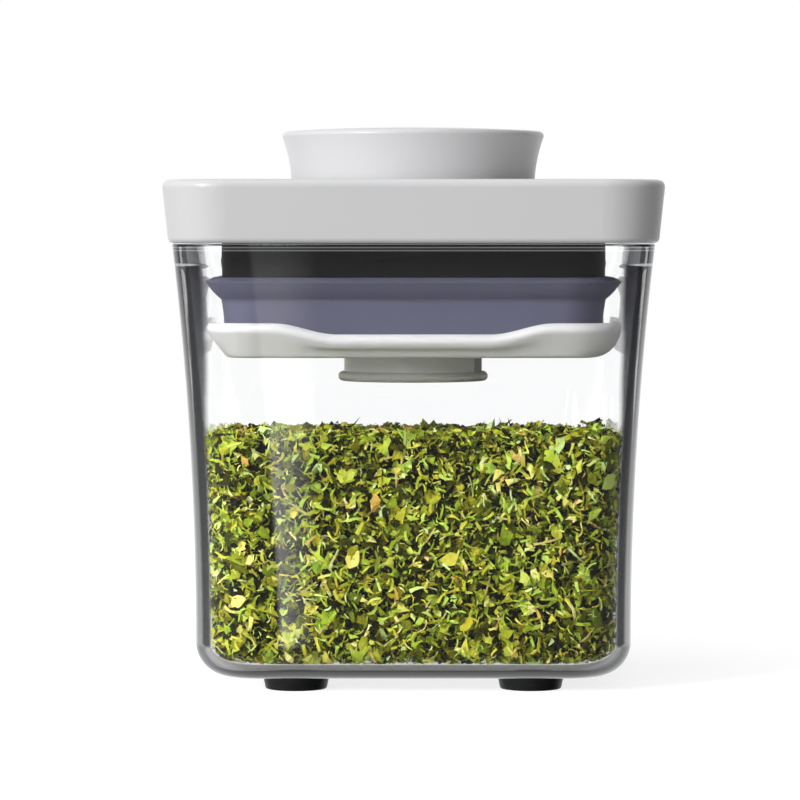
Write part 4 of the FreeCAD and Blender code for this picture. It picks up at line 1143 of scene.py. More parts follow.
@dataclass
class HerbFill:
    """The dried herbs: a crumbled core, painted near black as the shade between the bits, under layers of
    torn leaf bits and a few stems. All in mm.
    """

    TONE = "bit_tone"

    jar: Jar
    top: float = 42.6
    heap: float = 1.5
    slump: float = 2.6
    glass_gap: float = 0.07
    layer: float = 2.6
    bit_inset: float = 0.12
    press: float = 0.2
    crumble: float = 0.35
    waves: tuple[tuple[float, float, float, float], ...] = ((0.6, 0.41, 0.33, 0.0), (0.5, 0.83, -0.4, 2.0))
    seed: int = 11
    leaves: Strewing = Strewing(
        "leaves", Finish.LEAF, 18, (2.6, 1.56), (2.6, 1.4), (0.75, 3.8), (0.75, 0.85), 0
    )
    slivers: Strewing = Strewing(
        "slivers", Finish.LEAF, 12, (1.15, 0.575), (1.4, 1.4), (0.8, 3.0), (0.75, 0.85), 5, 0.45
    )
    stems: Strewing = Strewing(
        "stems", Finish.STEM, 5, (0.02, 0.02), (1.0, 1.0), (2.0, 5.5), (0.45, 0.45), 10
    )

    def leaf_bit(self, index: int, rng: np.random.Generator) -> bpy.types.Object:
        """One torn bit of leaf, about 1 mm long: a thin closed lens with a ragged outline and a curl.

        Args:
            index: The bit's number.
            rng: The source of its raggedness.

        Returns:
            The bit, outside the scene.
        """
        count = 8
        turns = np.linspace(0, 2 * math.pi, count, endpoint=False) + rng.uniform(-0.3, 0.3, count)
        reach = rng.choice((0.42, 0.7, 0.95, 1.2), count) * rng.uniform(0.9, 1.1, count)
        width = rng.uniform(0.24, 0.72)
        x = 0.5 * reach * np.cos(turns)
        y = 0.5 * width * reach * np.sin(turns) + 0.08 * rng.uniform(-1, 1) * np.cos(2 * turns)
        spine_x = np.array([-0.24, 0.05, 0.3]) + rng.uniform(-0.05, 0.05, 3)
        spine_y = rng.uniform(-0.05, 0.05, 3)
        fold, curl, twist = rng.uniform(-0.9, 0.9), rng.uniform(-0.9, 0.9), rng.uniform(-0.8, 0.8)

        def bend(px: np.ndarray, py: np.ndarray) -> np.ndarray:
            """The height of the bent leaf over its flat shape."""
            return fold * np.abs(py) + curl * px**2 + twist * px * py

        rim = np.stack([x, y, bend(x, y) + rng.uniform(-0.03, 0.03, count)], axis=1)
        spine = np.stack([spine_x, spine_y, bend(spine_x, spine_y)], axis=1)
        upper, lower = spine + (0, 0, 0.03), spine - (0, 0, 0.03)
        points = np.concatenate([rim, upper, lower])
        nearest = [int(np.argmin(np.abs(spine_x - (x[i] + x[(i + 1) % count]) / 2))) for i in range(count)]
        faces = []
        for side in (count, count + 3):
            for i in range(count):
                following = (i + 1) % count
                faces.append((i, following, side + nearest[i]))
                turn = 1 if nearest[following] > nearest[i] else -1
                for a in range(nearest[i], nearest[following], turn):
                    faces.append((following, side + a + turn, side + a))
        half = len(faces) // 2
        faces[half:] = [face[::-1] for face in faces[half:]]
        mesh = meshed(f"leaf_bit_{index}", points, faces)
        return bpy.data.objects.new(mesh.name, mesh)

    def stem_bit(self, index: int, rng: np.random.Generator) -> bpy.types.Object:
        """One bent bit of stem, about 1 mm long: a thin closed tube."""
        return self.strand(f"stem_bit_{index}", rng, 6, 5, 0.045, 1.0, 0.35)

    def sliver_bit(self, index: int, rng: np.random.Generator) -> bpy.types.Object:
        """One curled sliver of leaf, about 1 mm long: a thin closed flat strip."""
        return self.strand(f"sliver_bit_{index}", rng, 5, 3, rng.uniform(0.07, 0.17), 0.22, 0.8)

    def strand(
        self,
        name: str,
        rng: np.random.Generator,
        rings: int,
        sides: int,
        thick: float,
        flat: float,
        bend: float,
    ) -> bpy.types.Object:
        """One long thin bit, about 1 mm long.

        Args:
            name: The bit's name.
            rng: The source of its unevenness.
            rings: How many outlines it has along its length.
            sides: How many sides each outline has.
            thick: Its half width.
            flat: Its thickness as a share of its width.
            bend: How strongly it may bow.

        Returns:
            The bit, outside the scene.
        """
        bow, sway, phase = rng.uniform(-bend, bend), rng.uniform(-0.2, 0.2), rng.uniform(0, 6)
        points = []
        for share, x in zip(np.linspace(0, 1, rings), np.linspace(-0.5, 0.5, rings)):
            radius = thick * (1.15 - 0.5 * share) * rng.uniform(0.75, 1.2)
            y, z = bow * x**2 + sway * x, 0.15 * math.sin(4 * x + phase)
            for turn in np.linspace(0, 2 * math.pi, sides, endpoint=False):
                points.append((x, y + radius * math.cos(turn), z + radius * flat * math.sin(turn)))
        caps = [tuple(range(sides))[::-1], tuple(range((rings - 1) * sides, rings * sides))]
        mesh = meshed(name, np.array(points), caps + quads(rings, sides))
        return bpy.data.objects.new(mesh.name, mesh)

    def bits(
        self, name: str, make: Callable[[int, np.random.Generator], bpy.types.Object], count: int
    ) -> bpy.types.Collection:
        """A set of different bits for the scatter to choose from, kept outside the scene.

        Args:
            name: The set's name.
            make: What makes one bit.
            count: How many bits there are.

        Returns:
            The set.
        """
        rng = np.random.default_rng(self.seed)
        shelf = bpy.data.collections.new(name)
        for index in range(count):
            shelf.objects.link(make(index, rng))
        return shelf

    def scatter_tree(self) -> bpy.types.NodeTree:
        """The geometry nodes that lay bits over a surface.

        Returns:
            The tree, with inputs for the bits, how many, how deep, how large and how tilted they lie.
        """
        sheet = new_group(
            "herb_scatter",
            "GeometryNodeTree",
            {
                "Surface": "NodeSocketGeometry",
                "Bits": "NodeSocketCollection",
                "Bit Count": "NodeSocketInt",
                "Density": 1.0e6,
                "Depth": 2.0 * MM,
                "Smallest": 1.0 * MM,
                "Largest": 3.0 * MM,
                "Tilt": 0.9,
                "Palest": 0.0,
                "Darkest": 0.15,
                "Seed": "NodeSocketInt",
                "Finish": "NodeSocketMaterial",
            },
            {"Geometry": "NodeSocketGeometry"},
        )
        given = sheet.given

        def random(kind: str, low: object, high: object, offset: int) -> Socket:
            """A random value for each point, its seed offset from the tree's own.

            Args:
                kind: The value's type.
                low: The smallest value.
                high: The largest value.
                offset: The offset of the seed.

            Returns:
                The value.
            """
            seed = sheet.math("ADD", given["Seed"], float(offset))
            inputs = {"Min": low, "Max": high, "Seed": seed}
            node = sheet.add("FunctionNodeRandomValue", inputs, data_type=kind)
            return next(s for s in node.outputs if s.enabled)

        strewn = sheet.add(
            "GeometryNodeDistributePointsOnFaces",
            {"Mesh": given["Surface"], "Density": given["Density"], "Seed": given["Seed"]},
        )
        level = random("FLOAT", 0.0, 1.0, 1)
        inward = {0: strewn.outputs["Normal"], "Scale": sheet.times(level, sheet.times(given["Depth"], -1.0))}
        shift = sheet.add("ShaderNodeVectorMath", inward, operation="SCALE").outputs[0]
        laid = sheet.add("GeometryNodeSetPosition", {"Geometry": strewn.outputs["Points"], "Offset": shift})
        lean = sheet.times(given["Tilt"], -1.0)
        tilt = sheet.add(
            "ShaderNodeCombineXYZ",
            {
                "X": random("FLOAT", lean, given["Tilt"], 2),
                "Y": random("FLOAT", lean, given["Tilt"], 3),
                "Z": random("FLOAT", 0.0, 2 * math.pi, 4),
            },
        )
        turned = sheet.add(
            "FunctionNodeRotateRotation",
            {"Rotation": strewn.outputs["Rotation"], "Rotate By": tilt.outputs[0]},
            rotation_space="LOCAL",
        )
        shelf = sheet.add(
            "GeometryNodeCollectionInfo",
            {"Collection": given["Bits"], "Separate Children": True, "Reset Children": True},
        )
        last = sheet.math("SUBTRACT", given["Bit Count"], 1.0)
        size = sheet.math("POWER", random("FLOAT", 0.0, 1.0, 6), 2.0)
        extent = sheet.math("SUBTRACT", given["Largest"], given["Smallest"])
        scale = sheet.math("ADD", given["Smallest"], sheet.times(size, extent))
        placed = sheet.add(
            "GeometryNodeInstanceOnPoints",
            {
                "Points": laid.outputs[0],
                "Instance": shelf.outputs[0],
                "Pick Instance": True,
                "Instance Index": random("INT", 0, last, 5),
                "Rotation": turned.outputs[0],
                "Scale": scale,
            },
        )
        # Painted shade: the deeper a bit lies in the layer, the darker its tone, standing in for the shade
        # among the bits.
        shade = sheet.spread(level, 0.2, 0.9, 1.0, given["Darkest"])
        tone = sheet.times(random("FLOAT", given["Palest"], 1.0, 7), shade)
        toned = sheet.add(
            "GeometryNodeStoreNamedAttribute",
            {"Geometry": placed.outputs[0], "Name": self.TONE, "Value": tone},
            data_type="FLOAT",
            domain="INSTANCE",
        )
        return sheet.put_out(toned.outputs[0])

    def keep_off_glass(self, mesh: bpy.types.Mesh) -> None:
        """Press what would reach into the jar's wall or floor flat against it.

        Args:
            mesh: The bits' mesh, which is changed.
        """
        points = places(mesh).astype(float) / MM
        press = self.press
        floor_top = self.jar.base + self.jar.floor + self.glass_gap
        inner_round = self.jar.base_round - self.jar.wall
        wall = self.jar.wall_at(points[:, 2], self.jar.wall + self.glass_gap)
        low = np.clip(floor_top + inner_round - points[:, 2], 0, inner_round)
        sunk = inner_round - np.sqrt(np.clip(inner_round**2 - low**2, 0, None))
        half, corner = wall.half - sunk, np.maximum(wall.corner - sunk, 0.5)
        inner, start = (half - corner)[:, None], corner - press
        for _ in range(2):
            beyond = np.abs(points[:, :2]) - inner
            outside = np.maximum(beyond, 0)
            distance = np.hypot(outside[:, 0], outside[:, 1])
            squeezed = start + press * (1 - np.exp(-(distance - start) / press))
            scale = np.where(distance > start, squeezed / np.maximum(distance, 1e-6), 1.0)
            flat = np.where(beyond > 0, inner + outside * scale[:, None], np.abs(points[:, :2]))
            points[:, :2] = np.sign(points[:, :2]) * flat
        height = points[:, 2] - floor_top
        lifted = np.where(height < press, press * np.exp((height - press) / press), height)
        points[:, 2] = floor_top + lifted
        mesh.vertices.foreach_set("co", (points * MM).astype(np.float32).ravel())
        mesh.update()

    def heap_height(self, x: float, y: float) -> float:
        """How high the herbs lie at a place, in mm.

        Args:
            x: The place across.
            y: The place from front to back.

        Returns:
            The height.
        """
        height = math.sin(x * 0.19 + 1.0) * math.cos(y * 0.16 + 0.4)
        for reach, by_x, by_y, shift in self.waves:
            height += reach * math.sin(x * by_x + y * by_y + shift)
        return self.top + self.heap * 0.45 * height - self.slump * (0.5 + y / 68)

    def surface_levels(self, inset: float) -> list[Level]:
        """The outlines of the herbs' sides, from near the middle of the floor up to the top edge.

        Args:
            inset: How far in from the jar's inside they lie.

        Returns:
            The outlines in order.
        """
        jar = self.jar
        floor_top = jar.base + jar.floor + inset
        inner_round = jar.base_round - jar.wall
        flat, corner = (size - inset for size in jar.flat_part)
        corner = max(corner, 1.0)
        made = [Level(floor_top, flat * share, corner * share) for share in (0.6, 0.8)]
        made += outset(rounded((0.0, floor_top + inner_round), inner_round, -90, 0, 5), flat, corner)
        for height in np.linspace(floor_top + inner_round, self.top - 0.8, 12)[1:]:
            made.append(jar.wall_at(height, jar.wall + inset))
        return made

    def side_surface(self, quarter: int) -> bpy.types.Mesh:
        """The surface that one side's bits lie on, as loose faces.

        Args:
            quarter: The side's number, from 0 for the back on over the left.

        Returns:
            The surface.
        """
        loops = [level.points(6, 10) for level in self.surface_levels(self.bit_inset)]
        per_side = len(loops[0]) // 4
        chosen = [(quarter * per_side + 3 + step) % len(loops[0]) for step in range(per_side + 1)]
        points = np.concatenate([loop[chosen] for loop in loops]) * MM
        faces = quads(len(loops), per_side + 1, loose=True)
        return meshed(f"herb_side_{quarter}", self.settled(points), faces)

    def settled(self, points: np.ndarray) -> np.ndarray:
        """Let the upper part of the heap fall away towards the back.

        Args:
            points: Places on the heap, in metres, one to a row.

        Returns:
            The same places, the high ones lower the nearer they are to the back.
        """
        raised = np.clip((points[:, 2] / MM - self.top + 12) / 10, 0, 1)
        lowered = points.copy()
        lowered[:, 2] -= raised * self.slump * (0.5 + points[:, 1] / MM / 68) * MM
        return lowered

    def top_surface(self) -> bpy.types.Mesh:
        """The uneven surface that the top's bits lie on.

        Returns:
            The surface.
        """
        steps = 20
        edge = self.jar.wall_at(self.top, self.jar.wall + 0.5)
        shares = np.linspace(1, 0.05, steps)
        rows = [Level(0.0, edge.half * share, edge.corner * share).points(6, 10) for share in shares]
        points, count = np.concatenate(rows), len(rows[0])
        points[:, 2] = [self.heap_height(x, y) for x, y in points[:, :2]]
        middle = tuple(range((steps - 1) * count, steps * count))
        return meshed("herb_top", points * MM, [*quads(steps, count), middle])

    def build_core(self) -> bpy.types.Object:
        """The crumbled mass behind the leaf bits, painted near black as the shade in the gaps between them.

        Returns:
            The piece.
        """
        levels = self.surface_levels(self.layer)
        last = levels[-1]
        for share in (0.85, 0.6, 0.35, 0.12):
            levels.append(Level(self.top - self.layer * 0.9, last.half * share, last.corner * share))
        mesh = skin("herb_core", levels, 14, 40)
        rng = np.random.default_rng(self.seed)
        points = places(mesh)
        points += rng.uniform(-self.crumble * MM, self.crumble * MM, points.shape)
        mesh.vertices.foreach_set("co", self.settled(points).ravel())
        tone = mesh.attributes.new(self.TONE, "FLOAT", "POINT")
        tone.data.foreach_set("value", rng.uniform(0.2, 0.8, len(mesh.vertices)).astype(np.float32))
        return new_object("herb_core", mesh, Finish.CRUMBS, smooth=False)

    def build(self) -> list[bpy.types.Object]:
        """Make the herbs.

        Returns:
            The core, and the leaf bits and stems of each side and of the top.
        """
        tree = self.scatter_tree()
        shelves = {
            self.leaves: self.bits("leaf_bits", self.leaf_bit, self.leaves.count),
            self.slivers: self.bits("sliver_bits", self.sliver_bit, self.slivers.count),
            self.stems: self.bits("stem_bits", self.stem_bit, self.stems.count),
        }
        surfaces = {
            "right": self.side_surface(3),
            "back": self.side_surface(0),
            "left": self.side_surface(1),
            "front": self.side_surface(2),
            "top": self.top_surface(),
        }
        pieces = [self.build_core()]
        for number, (side, surface) in enumerate(surfaces.items()):
            for strewing, shelf in shelves.items():
                name = f"herb_{strewing.kind}_{side}"
                inputs = strewing.inputs(shelf, side == "top", self.seed + number * 20)
                mesh = grown(name, surface, tree, inputs)
                self.keep_off_glass(mesh)
                pieces.append(new_object(name, mesh, strewing.finish, smooth=False))
        for piece in pieces:
            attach(piece, "root")
            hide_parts("herb_fill")
        for shelf in shelves.values():
            for bit in list(shelf.objects):
                bpy.data.objects.remove(bit)
            bpy.data.collections.remove(shelf)
        return pieces


# ---------- Gasket and return spring ----------


@dataclass
class Gasket:
    """The square gasket with a pointed lip round its top. All in mm."""

    bottom: float = 57.6
    top: float = 67.4
    body_half: float = 31.4
    taper: float = 0.6
    lip_height: float = 3.6
    lip_edge: float = 0.7
    lip_reach: float = 2.9
    corner: float = 7.5
    wall: float = 2.2
    draw: float = 2.0

    def levels(self) -> list[Level]:
        """The outlines round the gasket's section, from its inner bottom edge outwards and up.

        Returns:
            The outlines in order.
        """
        inner, foot = -self.taper - self.wall, self.bottom + 0.4
        lip_bottom, lip_tip = self.top - self.lip_height, self.top - self.lip_edge
        section = [(inner + 0.3, self.bottom), (-self.taper - 0.4, self.bottom)]
        section += rounded((-self.taper - 0.4, foot), 0.4, -75, 0, 4)
        for share in np.linspace(0.1, 1.0, 10):
            waist = 0.12 * math.sin(math.pi * share)
            section.append((-self.taper * (1 - share) - waist, foot + (lip_bottom - foot) * share))
        for share in np.linspace(0.12, 0.94, 8):
            sag = 0.22 * math.sin(math.pi * share)
            section.append((self.lip_reach * share, lip_bottom + (lip_tip - lip_bottom) * share - sag))
        section += [(self.lip_reach, lip_tip - 0.04), (self.lip_reach - 0.03, lip_tip + 0.06)]
        for share in np.linspace(0.2, 1.0, 5):
            section.append((self.lip_reach * (1 - share / 2), lip_tip + self.lip_edge * share - 0.03))
        section += [(self.lip_reach / 2 - 0.25, self.top), (inner + 0.3, self.top), (inner, self.top - 0.3)]
        section += [(inner, height) for height in np.linspace(self.top - 1.5, self.bottom + 1.5, 5)]
        section.append((inner, self.bottom + 0.3))
        return outset(section, self.body_half, self.corner)

    def build(self) -> bpy.types.Object:
        """Make the gasket.

        Returns:
            The piece.
        """
        mesh = skin("gasket_ring", self.levels(), 14, 10, ring=True)
        piece = new_object("gasket_ring", mesh, Finish.SILICONE)
        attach(piece, "lid")
        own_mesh(piece)
        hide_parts("gasket")
        return piece


@dataclass
class Tray:
    """The shallow tray below the gasket, with a dip in each rim and a rounder right end. All in mm."""

    bottom: float = 54.4
    height: float = 5.7
    half: float = 34.3
    corner: float = 9.0
    slant: float = 3.9
    overhang: float = 0.85
    nose: float = 1.0
    heel: float = 1.2
    round_end: float = 5.2
    floor: float = 1.6
    rim: float = 1.25
    seat_height: float = 3.2
    seat_half: float = 31.1
    well_half: float = 28.3
    dip_shoulder: float = 11.8
    dip_run: float = 10.0
    dip_depth: float = 1.8
    dip_setback: float = 0.5
    dip_foot: float = 0.8
    rows: int = 30
    corner_steps: int = 14
    side_steps: int = 40

    @property
    def top(self) -> float:
        """The rim's height."""
        return self.bottom + self.height

    def slanted_side(self) -> np.ndarray:
        """The outside's section on three sides: a slanted wall with a soft heel and a round nose.

        Returns:
            The section's points.
        """
        return softened([
            (self.slant + 2.5, self.bottom, 0.0),
            (self.slant, self.bottom, self.heel),
            (-self.overhang, self.top, self.nose),
            (self.rim - 0.2, self.top, 0.0),
        ])

    def round_side(self) -> np.ndarray:
        """The outside's section on the right: a quarter ellipse that rounds under.

        Returns:
            The section's points.
        """
        turns = np.radians(np.linspace(0, 84, 12))
        curve = [(self.round_end * (1 - math.sin(t)), self.top - self.height * math.cos(t), 0) for t in turns]
        start = (self.round_end + 2.5, self.bottom, 0.0)
        return softened([start, *curve, (0.0, self.top, 0.35), (self.rim - 0.2, self.top, 0.0)])

    def inside(self) -> np.ndarray:
        """The inside's section, from the rim down the gasket's seat and the well to the floor.

        Returns:
            The section's points.
        """
        seat, well = self.half - self.seat_half, self.half - self.well_half
        seat_top, floor_top = self.bottom + self.seat_height, self.bottom + self.floor
        return softened([
            (self.rim - 0.2, self.top, 0.0),
            (self.rim, self.top, 0.15),
            (seat, seat_top, 0.2),
            (well, seat_top, 0.3),
            (well, floor_top, 0.4),
            (well + 2.0, floor_top, 0.0),
        ], 4)[1:]

    def dip(self, along: float) -> float:
        """How far the rim dips at a place along a side, as a share of the dip's depth."""
        share = np.clip((self.half - self.dip_shoulder - np.abs(along)) / self.dip_run, 0, 1)
        return eased(share)

    def loop(self, side: np.ndarray, right: np.ndarray, inner: bool) -> np.ndarray:
        """One loop round the tray.

        Args:
            side: How far in from the rim's outline the loop lies, and its height.
            right: The same on the right side.
            inner: Whether the loop is on the inside.

        Returns:
            The loop's points, anticlockwise seen from above.
        """
        low = self.bottom + (self.seat_height if inner else self.dip_foot)
        high = self.top if inner else self.top - self.dip_depth
        sink = eased(float(np.clip((side[1] - low) / (high - low), 0, 1)))
        made = []
        corner = max(self.corner - side[0], 1.0)
        signs = ((1, 1), (-1, 1), (-1, -1), (1, -1))
        reach_y = self.half - side[0] - corner
        for quarter in range(4):
            (sign_x, sign_y), (next_x, next_y) = signs[quarter], signs[(quarter + 1) % 4]
            end_x = next_x * (self.half - (right[0] if next_x > 0 else side[0]) - corner)
            for step in range(self.corner_steps + self.side_steps):
                turn = math.pi / 2 * (quarter + min(step / self.corner_steps, 1.0))
                share = max(step - self.corner_steps, 0) / self.side_steps
                east, north = math.cos(turn), math.sin(turn)
                toward_right = max(east, 0.0) ** 2
                inset = side[0] + (right[0] - side[0]) * toward_right
                height = side[1] + (right[1] - side[1]) * toward_right
                reach_x = self.half - (inset if east > 0 else side[0]) - corner
                x, y = sign_x * reach_x, sign_y * reach_y
                if share > 0:
                    x, y = x + (end_x - x) * share, y + (next_y * reach_y - y) * share
                    depth = float(self.dip(x if quarter % 2 == 0 else y)) * sink
                    height -= depth * self.dip_depth
                    back = depth * self.dip_setback
                    x, y = x - east * back, y - north * back
                made.append((x + corner * east, y + corner * north, height))
        return np.array(made)

    def build(self) -> bpy.types.Object:
        """Make the tray.

        Returns:
            The piece, which stands for the CAD tray.
        """
        sides, rights = (evened(section, self.rows) for section in (self.slanted_side(), self.round_side()))
        loops = [self.loop(side, right, False) for side, right in zip(sides, rights)]
        loops += [self.loop(point, point, True) for point in self.inside()]
        under = [loops[0] * (share, share, 1.0) for share in (1 / 6, 0.5, 0.75)]
        over = [loops[-1] * (share, share, 1.0) for share in (0.75, 0.5, 0.25)]
        loops = under + loops + over
        piece = new_object("tray_dish", lofted("tray_dish", loops), Finish.TRAY_WHITE)
        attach(piece, "tray")
        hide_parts("bottom_tray")
        return piece


@dataclass
class ReturnSpring:
    """The coil spring under the button. All in mm."""

    bottom: float = 69.0
    top: float = 90.0
    radius: float = 17.3
    wire: float = 0.9
    pitch: float = 3.3
    travel: float = 7.5

    def build(self) -> bpy.types.Object:
        """Make the spring.

        Returns:
            The piece.
        """
        sheet = new_group(
            "coil_spring",
            "GeometryNodeTree",
            {
                "Surface": "NodeSocketGeometry",
                "Turns": 6.0,
                "Radius": 10 * MM,
                "Height": 20 * MM,
                "Start Height": 0.0,
                "Wire Radius": 0.5 * MM,
                "Finish": "NodeSocketMaterial",
            },
            {"Geometry": "NodeSocketGeometry"},
        )
        given = sheet.given
        coil = sheet.add(
            "GeometryNodeCurveSpiral",
            {
                "Resolution": 48,
                "Rotations": given["Turns"],
                "Start Radius": given["Radius"],
                "End Radius": given["Radius"],
                "Height": given["Height"],
            },
        )
        section = sheet.add(
            "GeometryNodeCurvePrimitiveCircle", {"Resolution": 14, "Radius": given["Wire Radius"]}
        )
        tube = sheet.add(
            "GeometryNodeCurveToMesh",
            {"Curve": coil.outputs[0], "Profile Curve": section.outputs[0], "Fill Caps": True},
        )
        rise = sheet.add("ShaderNodeCombineXYZ", {"Z": given["Start Height"]}).outputs[0]
        raised = sheet.add("GeometryNodeTransform", {"Geometry": tube.outputs[0], "Translation": rise})
        smooth = sheet.add("GeometryNodeSetShadeSmooth", {"Geometry": raised.outputs[0]})
        tree = sheet.put_out(smooth.outputs[0])
        height = self.top - self.bottom - self.wire - 0.1
        inputs = {
            "Turns": height / self.pitch,
            "Radius": self.radius * MM,
            "Height": height * MM,
            "Start Height": (self.bottom + self.wire / 2 + 0.05) * MM,
            "Wire Radius": self.wire / 2 * MM,
            "Finish": Finish.STEEL.material(),
        }
        mesh = grown("spring_coil", bpy.data.meshes.new("spring_seed"), tree, inputs)
        piece = new_object("spring_coil", mesh, Finish.STEEL)
        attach(piece, "lid")
        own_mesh(piece)
        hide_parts("return_spring")
        return piece


# ---------- Lid and the rest of the CAD nodes ----------


@dataclass
class Hardware:
    """The CAD nodes that stay as they are and get their finish here."""

    finishes: dict[Finish, tuple[str, ...]] = field(
        default_factory=lambda: {
            Finish.FOOT_RUBBER: ("foot_front_left", "foot_front_right", "foot_rear_left", "foot_rear_right"),
            Finish.LID_WHITE: ("lid_frame", "button_cap"),
            Finish.ACETAL: ("button_plunger", "cam_ring", "draw_post"),
            Finish.CHARCOAL: ("gasket_carrier",),
            Finish.STEEL: ("carrier_screws", "cam_retainer", "latch_wire", "tray_screw"),
            Finish.SEAL_RUBBER: ("post_seal",),
            Finish.MOUNT_GREY: ("accessory_mount",),
        }
    )

    def dress(self) -> int:
        """Give each node its finish.

        Returns:
            How many nodes were dressed.
        """
        for finish, names in self.finishes.items():
            for name in names:
                for slot in frame["nodes"][name].material_slots:
                    slot.material = finish.material()
        return sum(len(names) for names in self.finishes.values())


# ---------- Studio ----------


@dataclass
class SoftLamp:
    """A soft oblong lamp that looks at the object. In metres and watts."""

    name: str
    place: Place
    width: float
    height: float
    power: float
    aim: Place = (0.0, 0.0, 0.045)

    def build(self) -> bpy.types.Object:
        """Place the lamp.

        Returns:
            The lamp.
        """
        data = bpy.data.lights.new(self.name, "AREA")
        data.shape = "RECTANGLE"
        data.size, data.size_y = self.width, self.height
        data.energy = self.power
        lamp = bpy.data.objects.new(self.name, data)
        lamp.location = self.place
        lamp.rotation_euler = (Vector(self.aim) - Vector(self.place)).to_track_quat("-Z", "Y").to_euler()
        bpy.context.scene.collection.objects.link(lamp)
        return lamp


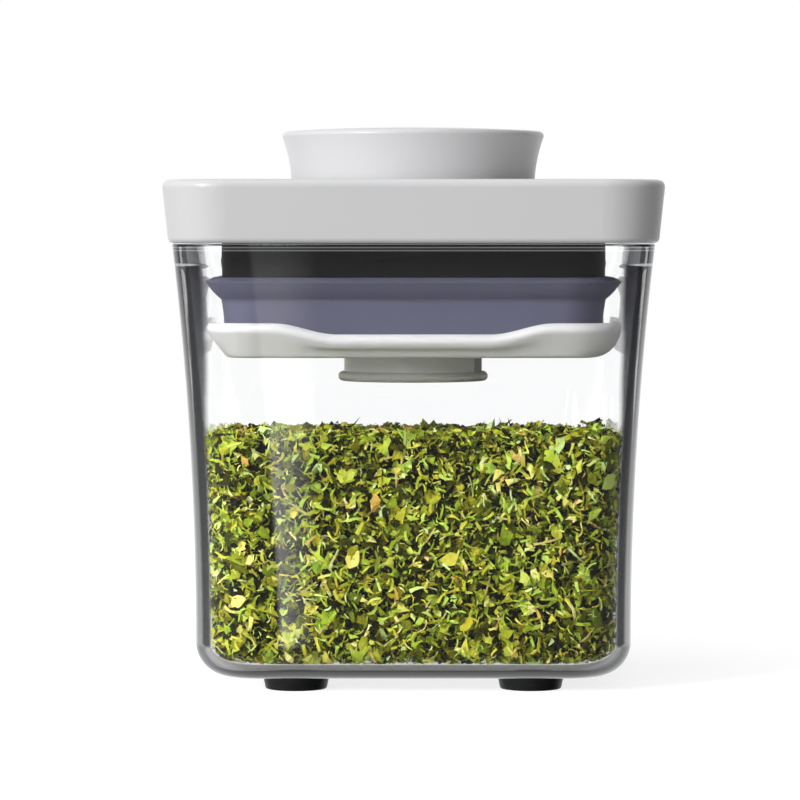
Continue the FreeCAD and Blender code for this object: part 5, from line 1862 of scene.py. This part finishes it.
@dataclass
class Studio:
    """The camera, the pale floor, the white surroundings and the lamps. In metres."""

    camera_place: Place = (-0.0022, -0.700, 0.0733)
    camera_pitch: float = 2.2
    lens: float = 186.8
    sensor: float = 36.0
    floor_radius: float = 0.6
    floor_tone: float = 0.5
    floor_glow: float = 0.8
    bright_side: Place = (-0.745, -0.298, 0.596)
    light_level: float = 0.50
    light_slope: float = 1.6
    window_side: Place = (-0.50, -0.72, 0.48)
    window_spread: float = 12.0
    window_level: float = 0.9
    dark_end: float = 0.03
    strip: tuple[float, float] = (-0.0406, -0.0250)
    strip_levels: tuple[float, float] = (0.3, 4.0)
    seen_white: float = 1.12
    lamps: tuple[SoftLamp, ...] = (
        SoftLamp("key_lamp", (-0.72, -0.74, 0.50), 0.24, 0.24, 5.6),
        SoftLamp("low_lamp", (-0.45, -1.0, 0.18), 0.24, 0.12, 0.8),
        SoftLamp("top_lamp", (-0.05, 0.05, 0.9), 0.6, 0.6, 1.2),
    )

    def build_camera(self) -> None:
        """Set the camera level with the lid, tipped a little down."""
        data = bpy.data.cameras.new("camera")
        data.lens = self.lens
        data.sensor_width = self.sensor
        data.clip_start, data.clip_end = 0.01, 20.0
        camera = bpy.data.objects.new("camera", data)
        camera.location = self.camera_place
        camera.rotation_euler = (math.radians(90 - self.camera_pitch), 0, 0)
        bpy.context.scene.collection.objects.link(camera)
        bpy.context.scene.camera = camera

    def shown_rays(self, sheet: NodeSheet) -> Socket:
        """1 for rays that show what lies behind, straight or through the jar, and 0 for all others.

        Args:
            sheet: The sheet.

        Returns:
            1 or 0.
        """
        path = sheet.add("ShaderNodeLightPath").outputs
        seen = sheet.math("ADD", path["Is Camera Ray"], path["Is Glossy Ray"])
        seen = sheet.math("ADD", seen, path["Is Transmission Ray"], clamp=True)
        unlit = sheet.math("LESS_THAN", path["Diffuse Depth"], 0.5)
        straight = sheet.math("LESS_THAN", path["Glossy Depth"], 0.5)
        return sheet.times(seen, unlit, straight)

    def toward(self, sheet: NodeSheet, direction: object, side: Place) -> Socket:
        """How far a direction points to a side, from -1 to 1."""
        sides = {0: direction, 1: Vector(side).normalized()}
        return sheet.add("ShaderNodeVectorMath", sides, operation="DOT_PRODUCT").outputs["Value"]

    def light(self, sheet: NodeSheet, direction: object) -> Socket:
        """The studio's own light from a direction: brightest at the upper left, with a window there.

        Args:
            sheet: The sheet.
            direction: The direction.

        Returns:
            The light's strength.
        """
        slope = sheet.spread(self.toward(sheet, direction, self.bright_side), -1.0, 1.0, 0.0, 1.0)
        slope = sheet.times(sheet.math("POWER", slope, self.light_slope), self.light_level)
        near = sheet.math("MAXIMUM", self.toward(sheet, direction, self.window_side), 0.0)
        window = sheet.times(sheet.math("POWER", near, self.window_spread), self.window_level)
        return sheet.math("ADD", slope, window)

    def mirrored(self, sheet: NodeSheet, direction: object, light: object) -> Socket:
        """What shiny faces mirror: the light, a dark end with a narrow lamp, and the white behind.

        Args:
            sheet: The sheet.
            direction: The direction.
            light: The studio's light from there.

        Returns:
            The strength of what is mirrored.
        """
        parts = sheet.add("ShaderNodeSeparateXYZ", {0: direction}).outputs
        dimmed = sheet.times(light, sheet.spread(parts["Y"], -1.0, -0.45, self.dark_end, 1.0))
        dimmed = sheet.math("MAXIMUM", dimmed, sheet.spread(parts["Y"], 0.3, 0.95, 0.0, self.seen_white))
        ahead = sheet.math("MAXIMUM", sheet.times(parts["Y"], -1.0), 0.001)
        aside = sheet.math("DIVIDE", parts["X"], ahead)
        middle, half = sum(self.strip) / 2, (self.strip[1] - self.strip[0]) / 2
        off = sheet.math("ABSOLUTE", sheet.math("SUBTRACT", aside, middle))
        lamp = sheet.spread(off, half * 0.4, half * 1.6, 1.0, 0.0)
        lamp = sheet.times(lamp, sheet.spread(parts["Z"], -0.22, -0.14, *self.strip_levels))
        in_front = sheet.math("GREATER_THAN", ahead, 0.5)
        return sheet.math("ADD", dimmed, sheet.times(lamp, in_front))

    def build_world(self) -> None:
        """Surround the object: soft light from the upper left, and white where it is seen."""
        world = bpy.data.worlds.new("studio")
        bpy.context.scene.world = world
        world.use_nodes = True
        sheet = NodeSheet(world.node_tree)
        path = sheet.add("ShaderNodeLightPath").outputs
        direction = sheet.add("ShaderNodeTexCoord").outputs["Generated"]
        light = self.light(sheet, direction)
        unlit = sheet.math("LESS_THAN", path["Diffuse Depth"], 0.5)
        mirror = sheet.times(sheet.math("GREATER_THAN", path["Glossy Depth"], 0.5), unlit)
        lit = sheet.add("ShaderNodeMix", {0: mirror, 2: light, 3: self.mirrored(sheet, direction, light)})
        white = sheet.spread(path["Is Camera Ray"], 0.0, 1.0, self.seen_white, 1.0)
        inside = sheet.times(sheet.math("GREATER_THAN", path["Transmission Depth"], 0.5), mirror)
        behind = sheet.add("ShaderNodeSeparateXYZ", {0: direction}).outputs["Y"]
        bounced = sheet.times(inside, sheet.spread(behind, -0.7, -0.2, 0.0, 1.0))
        shown = sheet.math("MAXIMUM", self.shown_rays(sheet), bounced)
        level = sheet.add("ShaderNodeMix", {0: shown, 2: lit.outputs[0], 3: white})
        colour = sheet.add("ShaderNodeCombineColor", dict.fromkeys(range(3), level.outputs[0]))
        background = sheet.add("ShaderNodeBackground", {"Color": colour.outputs[0], "Strength": 1.0})
        sheet.add("ShaderNodeOutputWorld", {"Surface": background.outputs[0]})

    def build_floor(self) -> bpy.types.Object:
        """Lay the round pale floor, which shows white apart from the object's own shadow.

        Returns:
            The floor.
        """
        mesh = bpy.data.meshes.new("floor")
        made = bmesh.new()
        bmesh.ops.create_circle(made, cap_ends=True, radius=self.floor_radius, segments=96)
        made.to_mesh(mesh)
        made.free()
        material = bpy.data.materials.new("pale_floor")
        material.use_nodes = True
        sheet = NodeSheet(material.node_tree)
        matt = sheet.add("ShaderNodeBsdfDiffuse", {"Color": (*[self.floor_tone] * 3, 1)})
        glow = sheet.add("ShaderNodeEmission", {"Color": (1, 1, 1, 1)})
        sheet.fill(glow, {"Strength": sheet.times(self.shown_rays(sheet), self.floor_glow)})
        both = sheet.add("ShaderNodeAddShader", {0: matt.outputs[0], 1: glow.outputs[0]})
        sheet.add("ShaderNodeOutputMaterial", {"Surface": both.outputs[0]})
        mesh.materials.append(material)
        floor = bpy.data.objects.new("floor", mesh)
        bpy.context.scene.collection.objects.link(floor)
        floor.visible_glossy = False
        return floor

    def build(self) -> None:
        """Set up everything round the object."""
        bpy.context.scene.view_settings.view_transform = "Standard"
        self.build_camera()
        self.build_world()
        self.build_floor()
        for lamp in self.lamps:
            lamp.build()


def main() -> None:
    """Build the studio and the object, and report each piece."""
    logging.basicConfig(level=logging.INFO, format="%(name)s: %(message)s")
    Studio().build()
    log.info("studio ready")
    jar = Jar()
    made = [jar.build(), *HerbFill(jar).build(), Gasket().build(), Tray().build(), ReturnSpring().build()]
    for piece in made:
        log.info("%s: %d faces", piece.name, len(piece.data.polygons))
    log.info("dressed %d nodes", Hardware().dress())


if __name__ == "__main__":
    main()
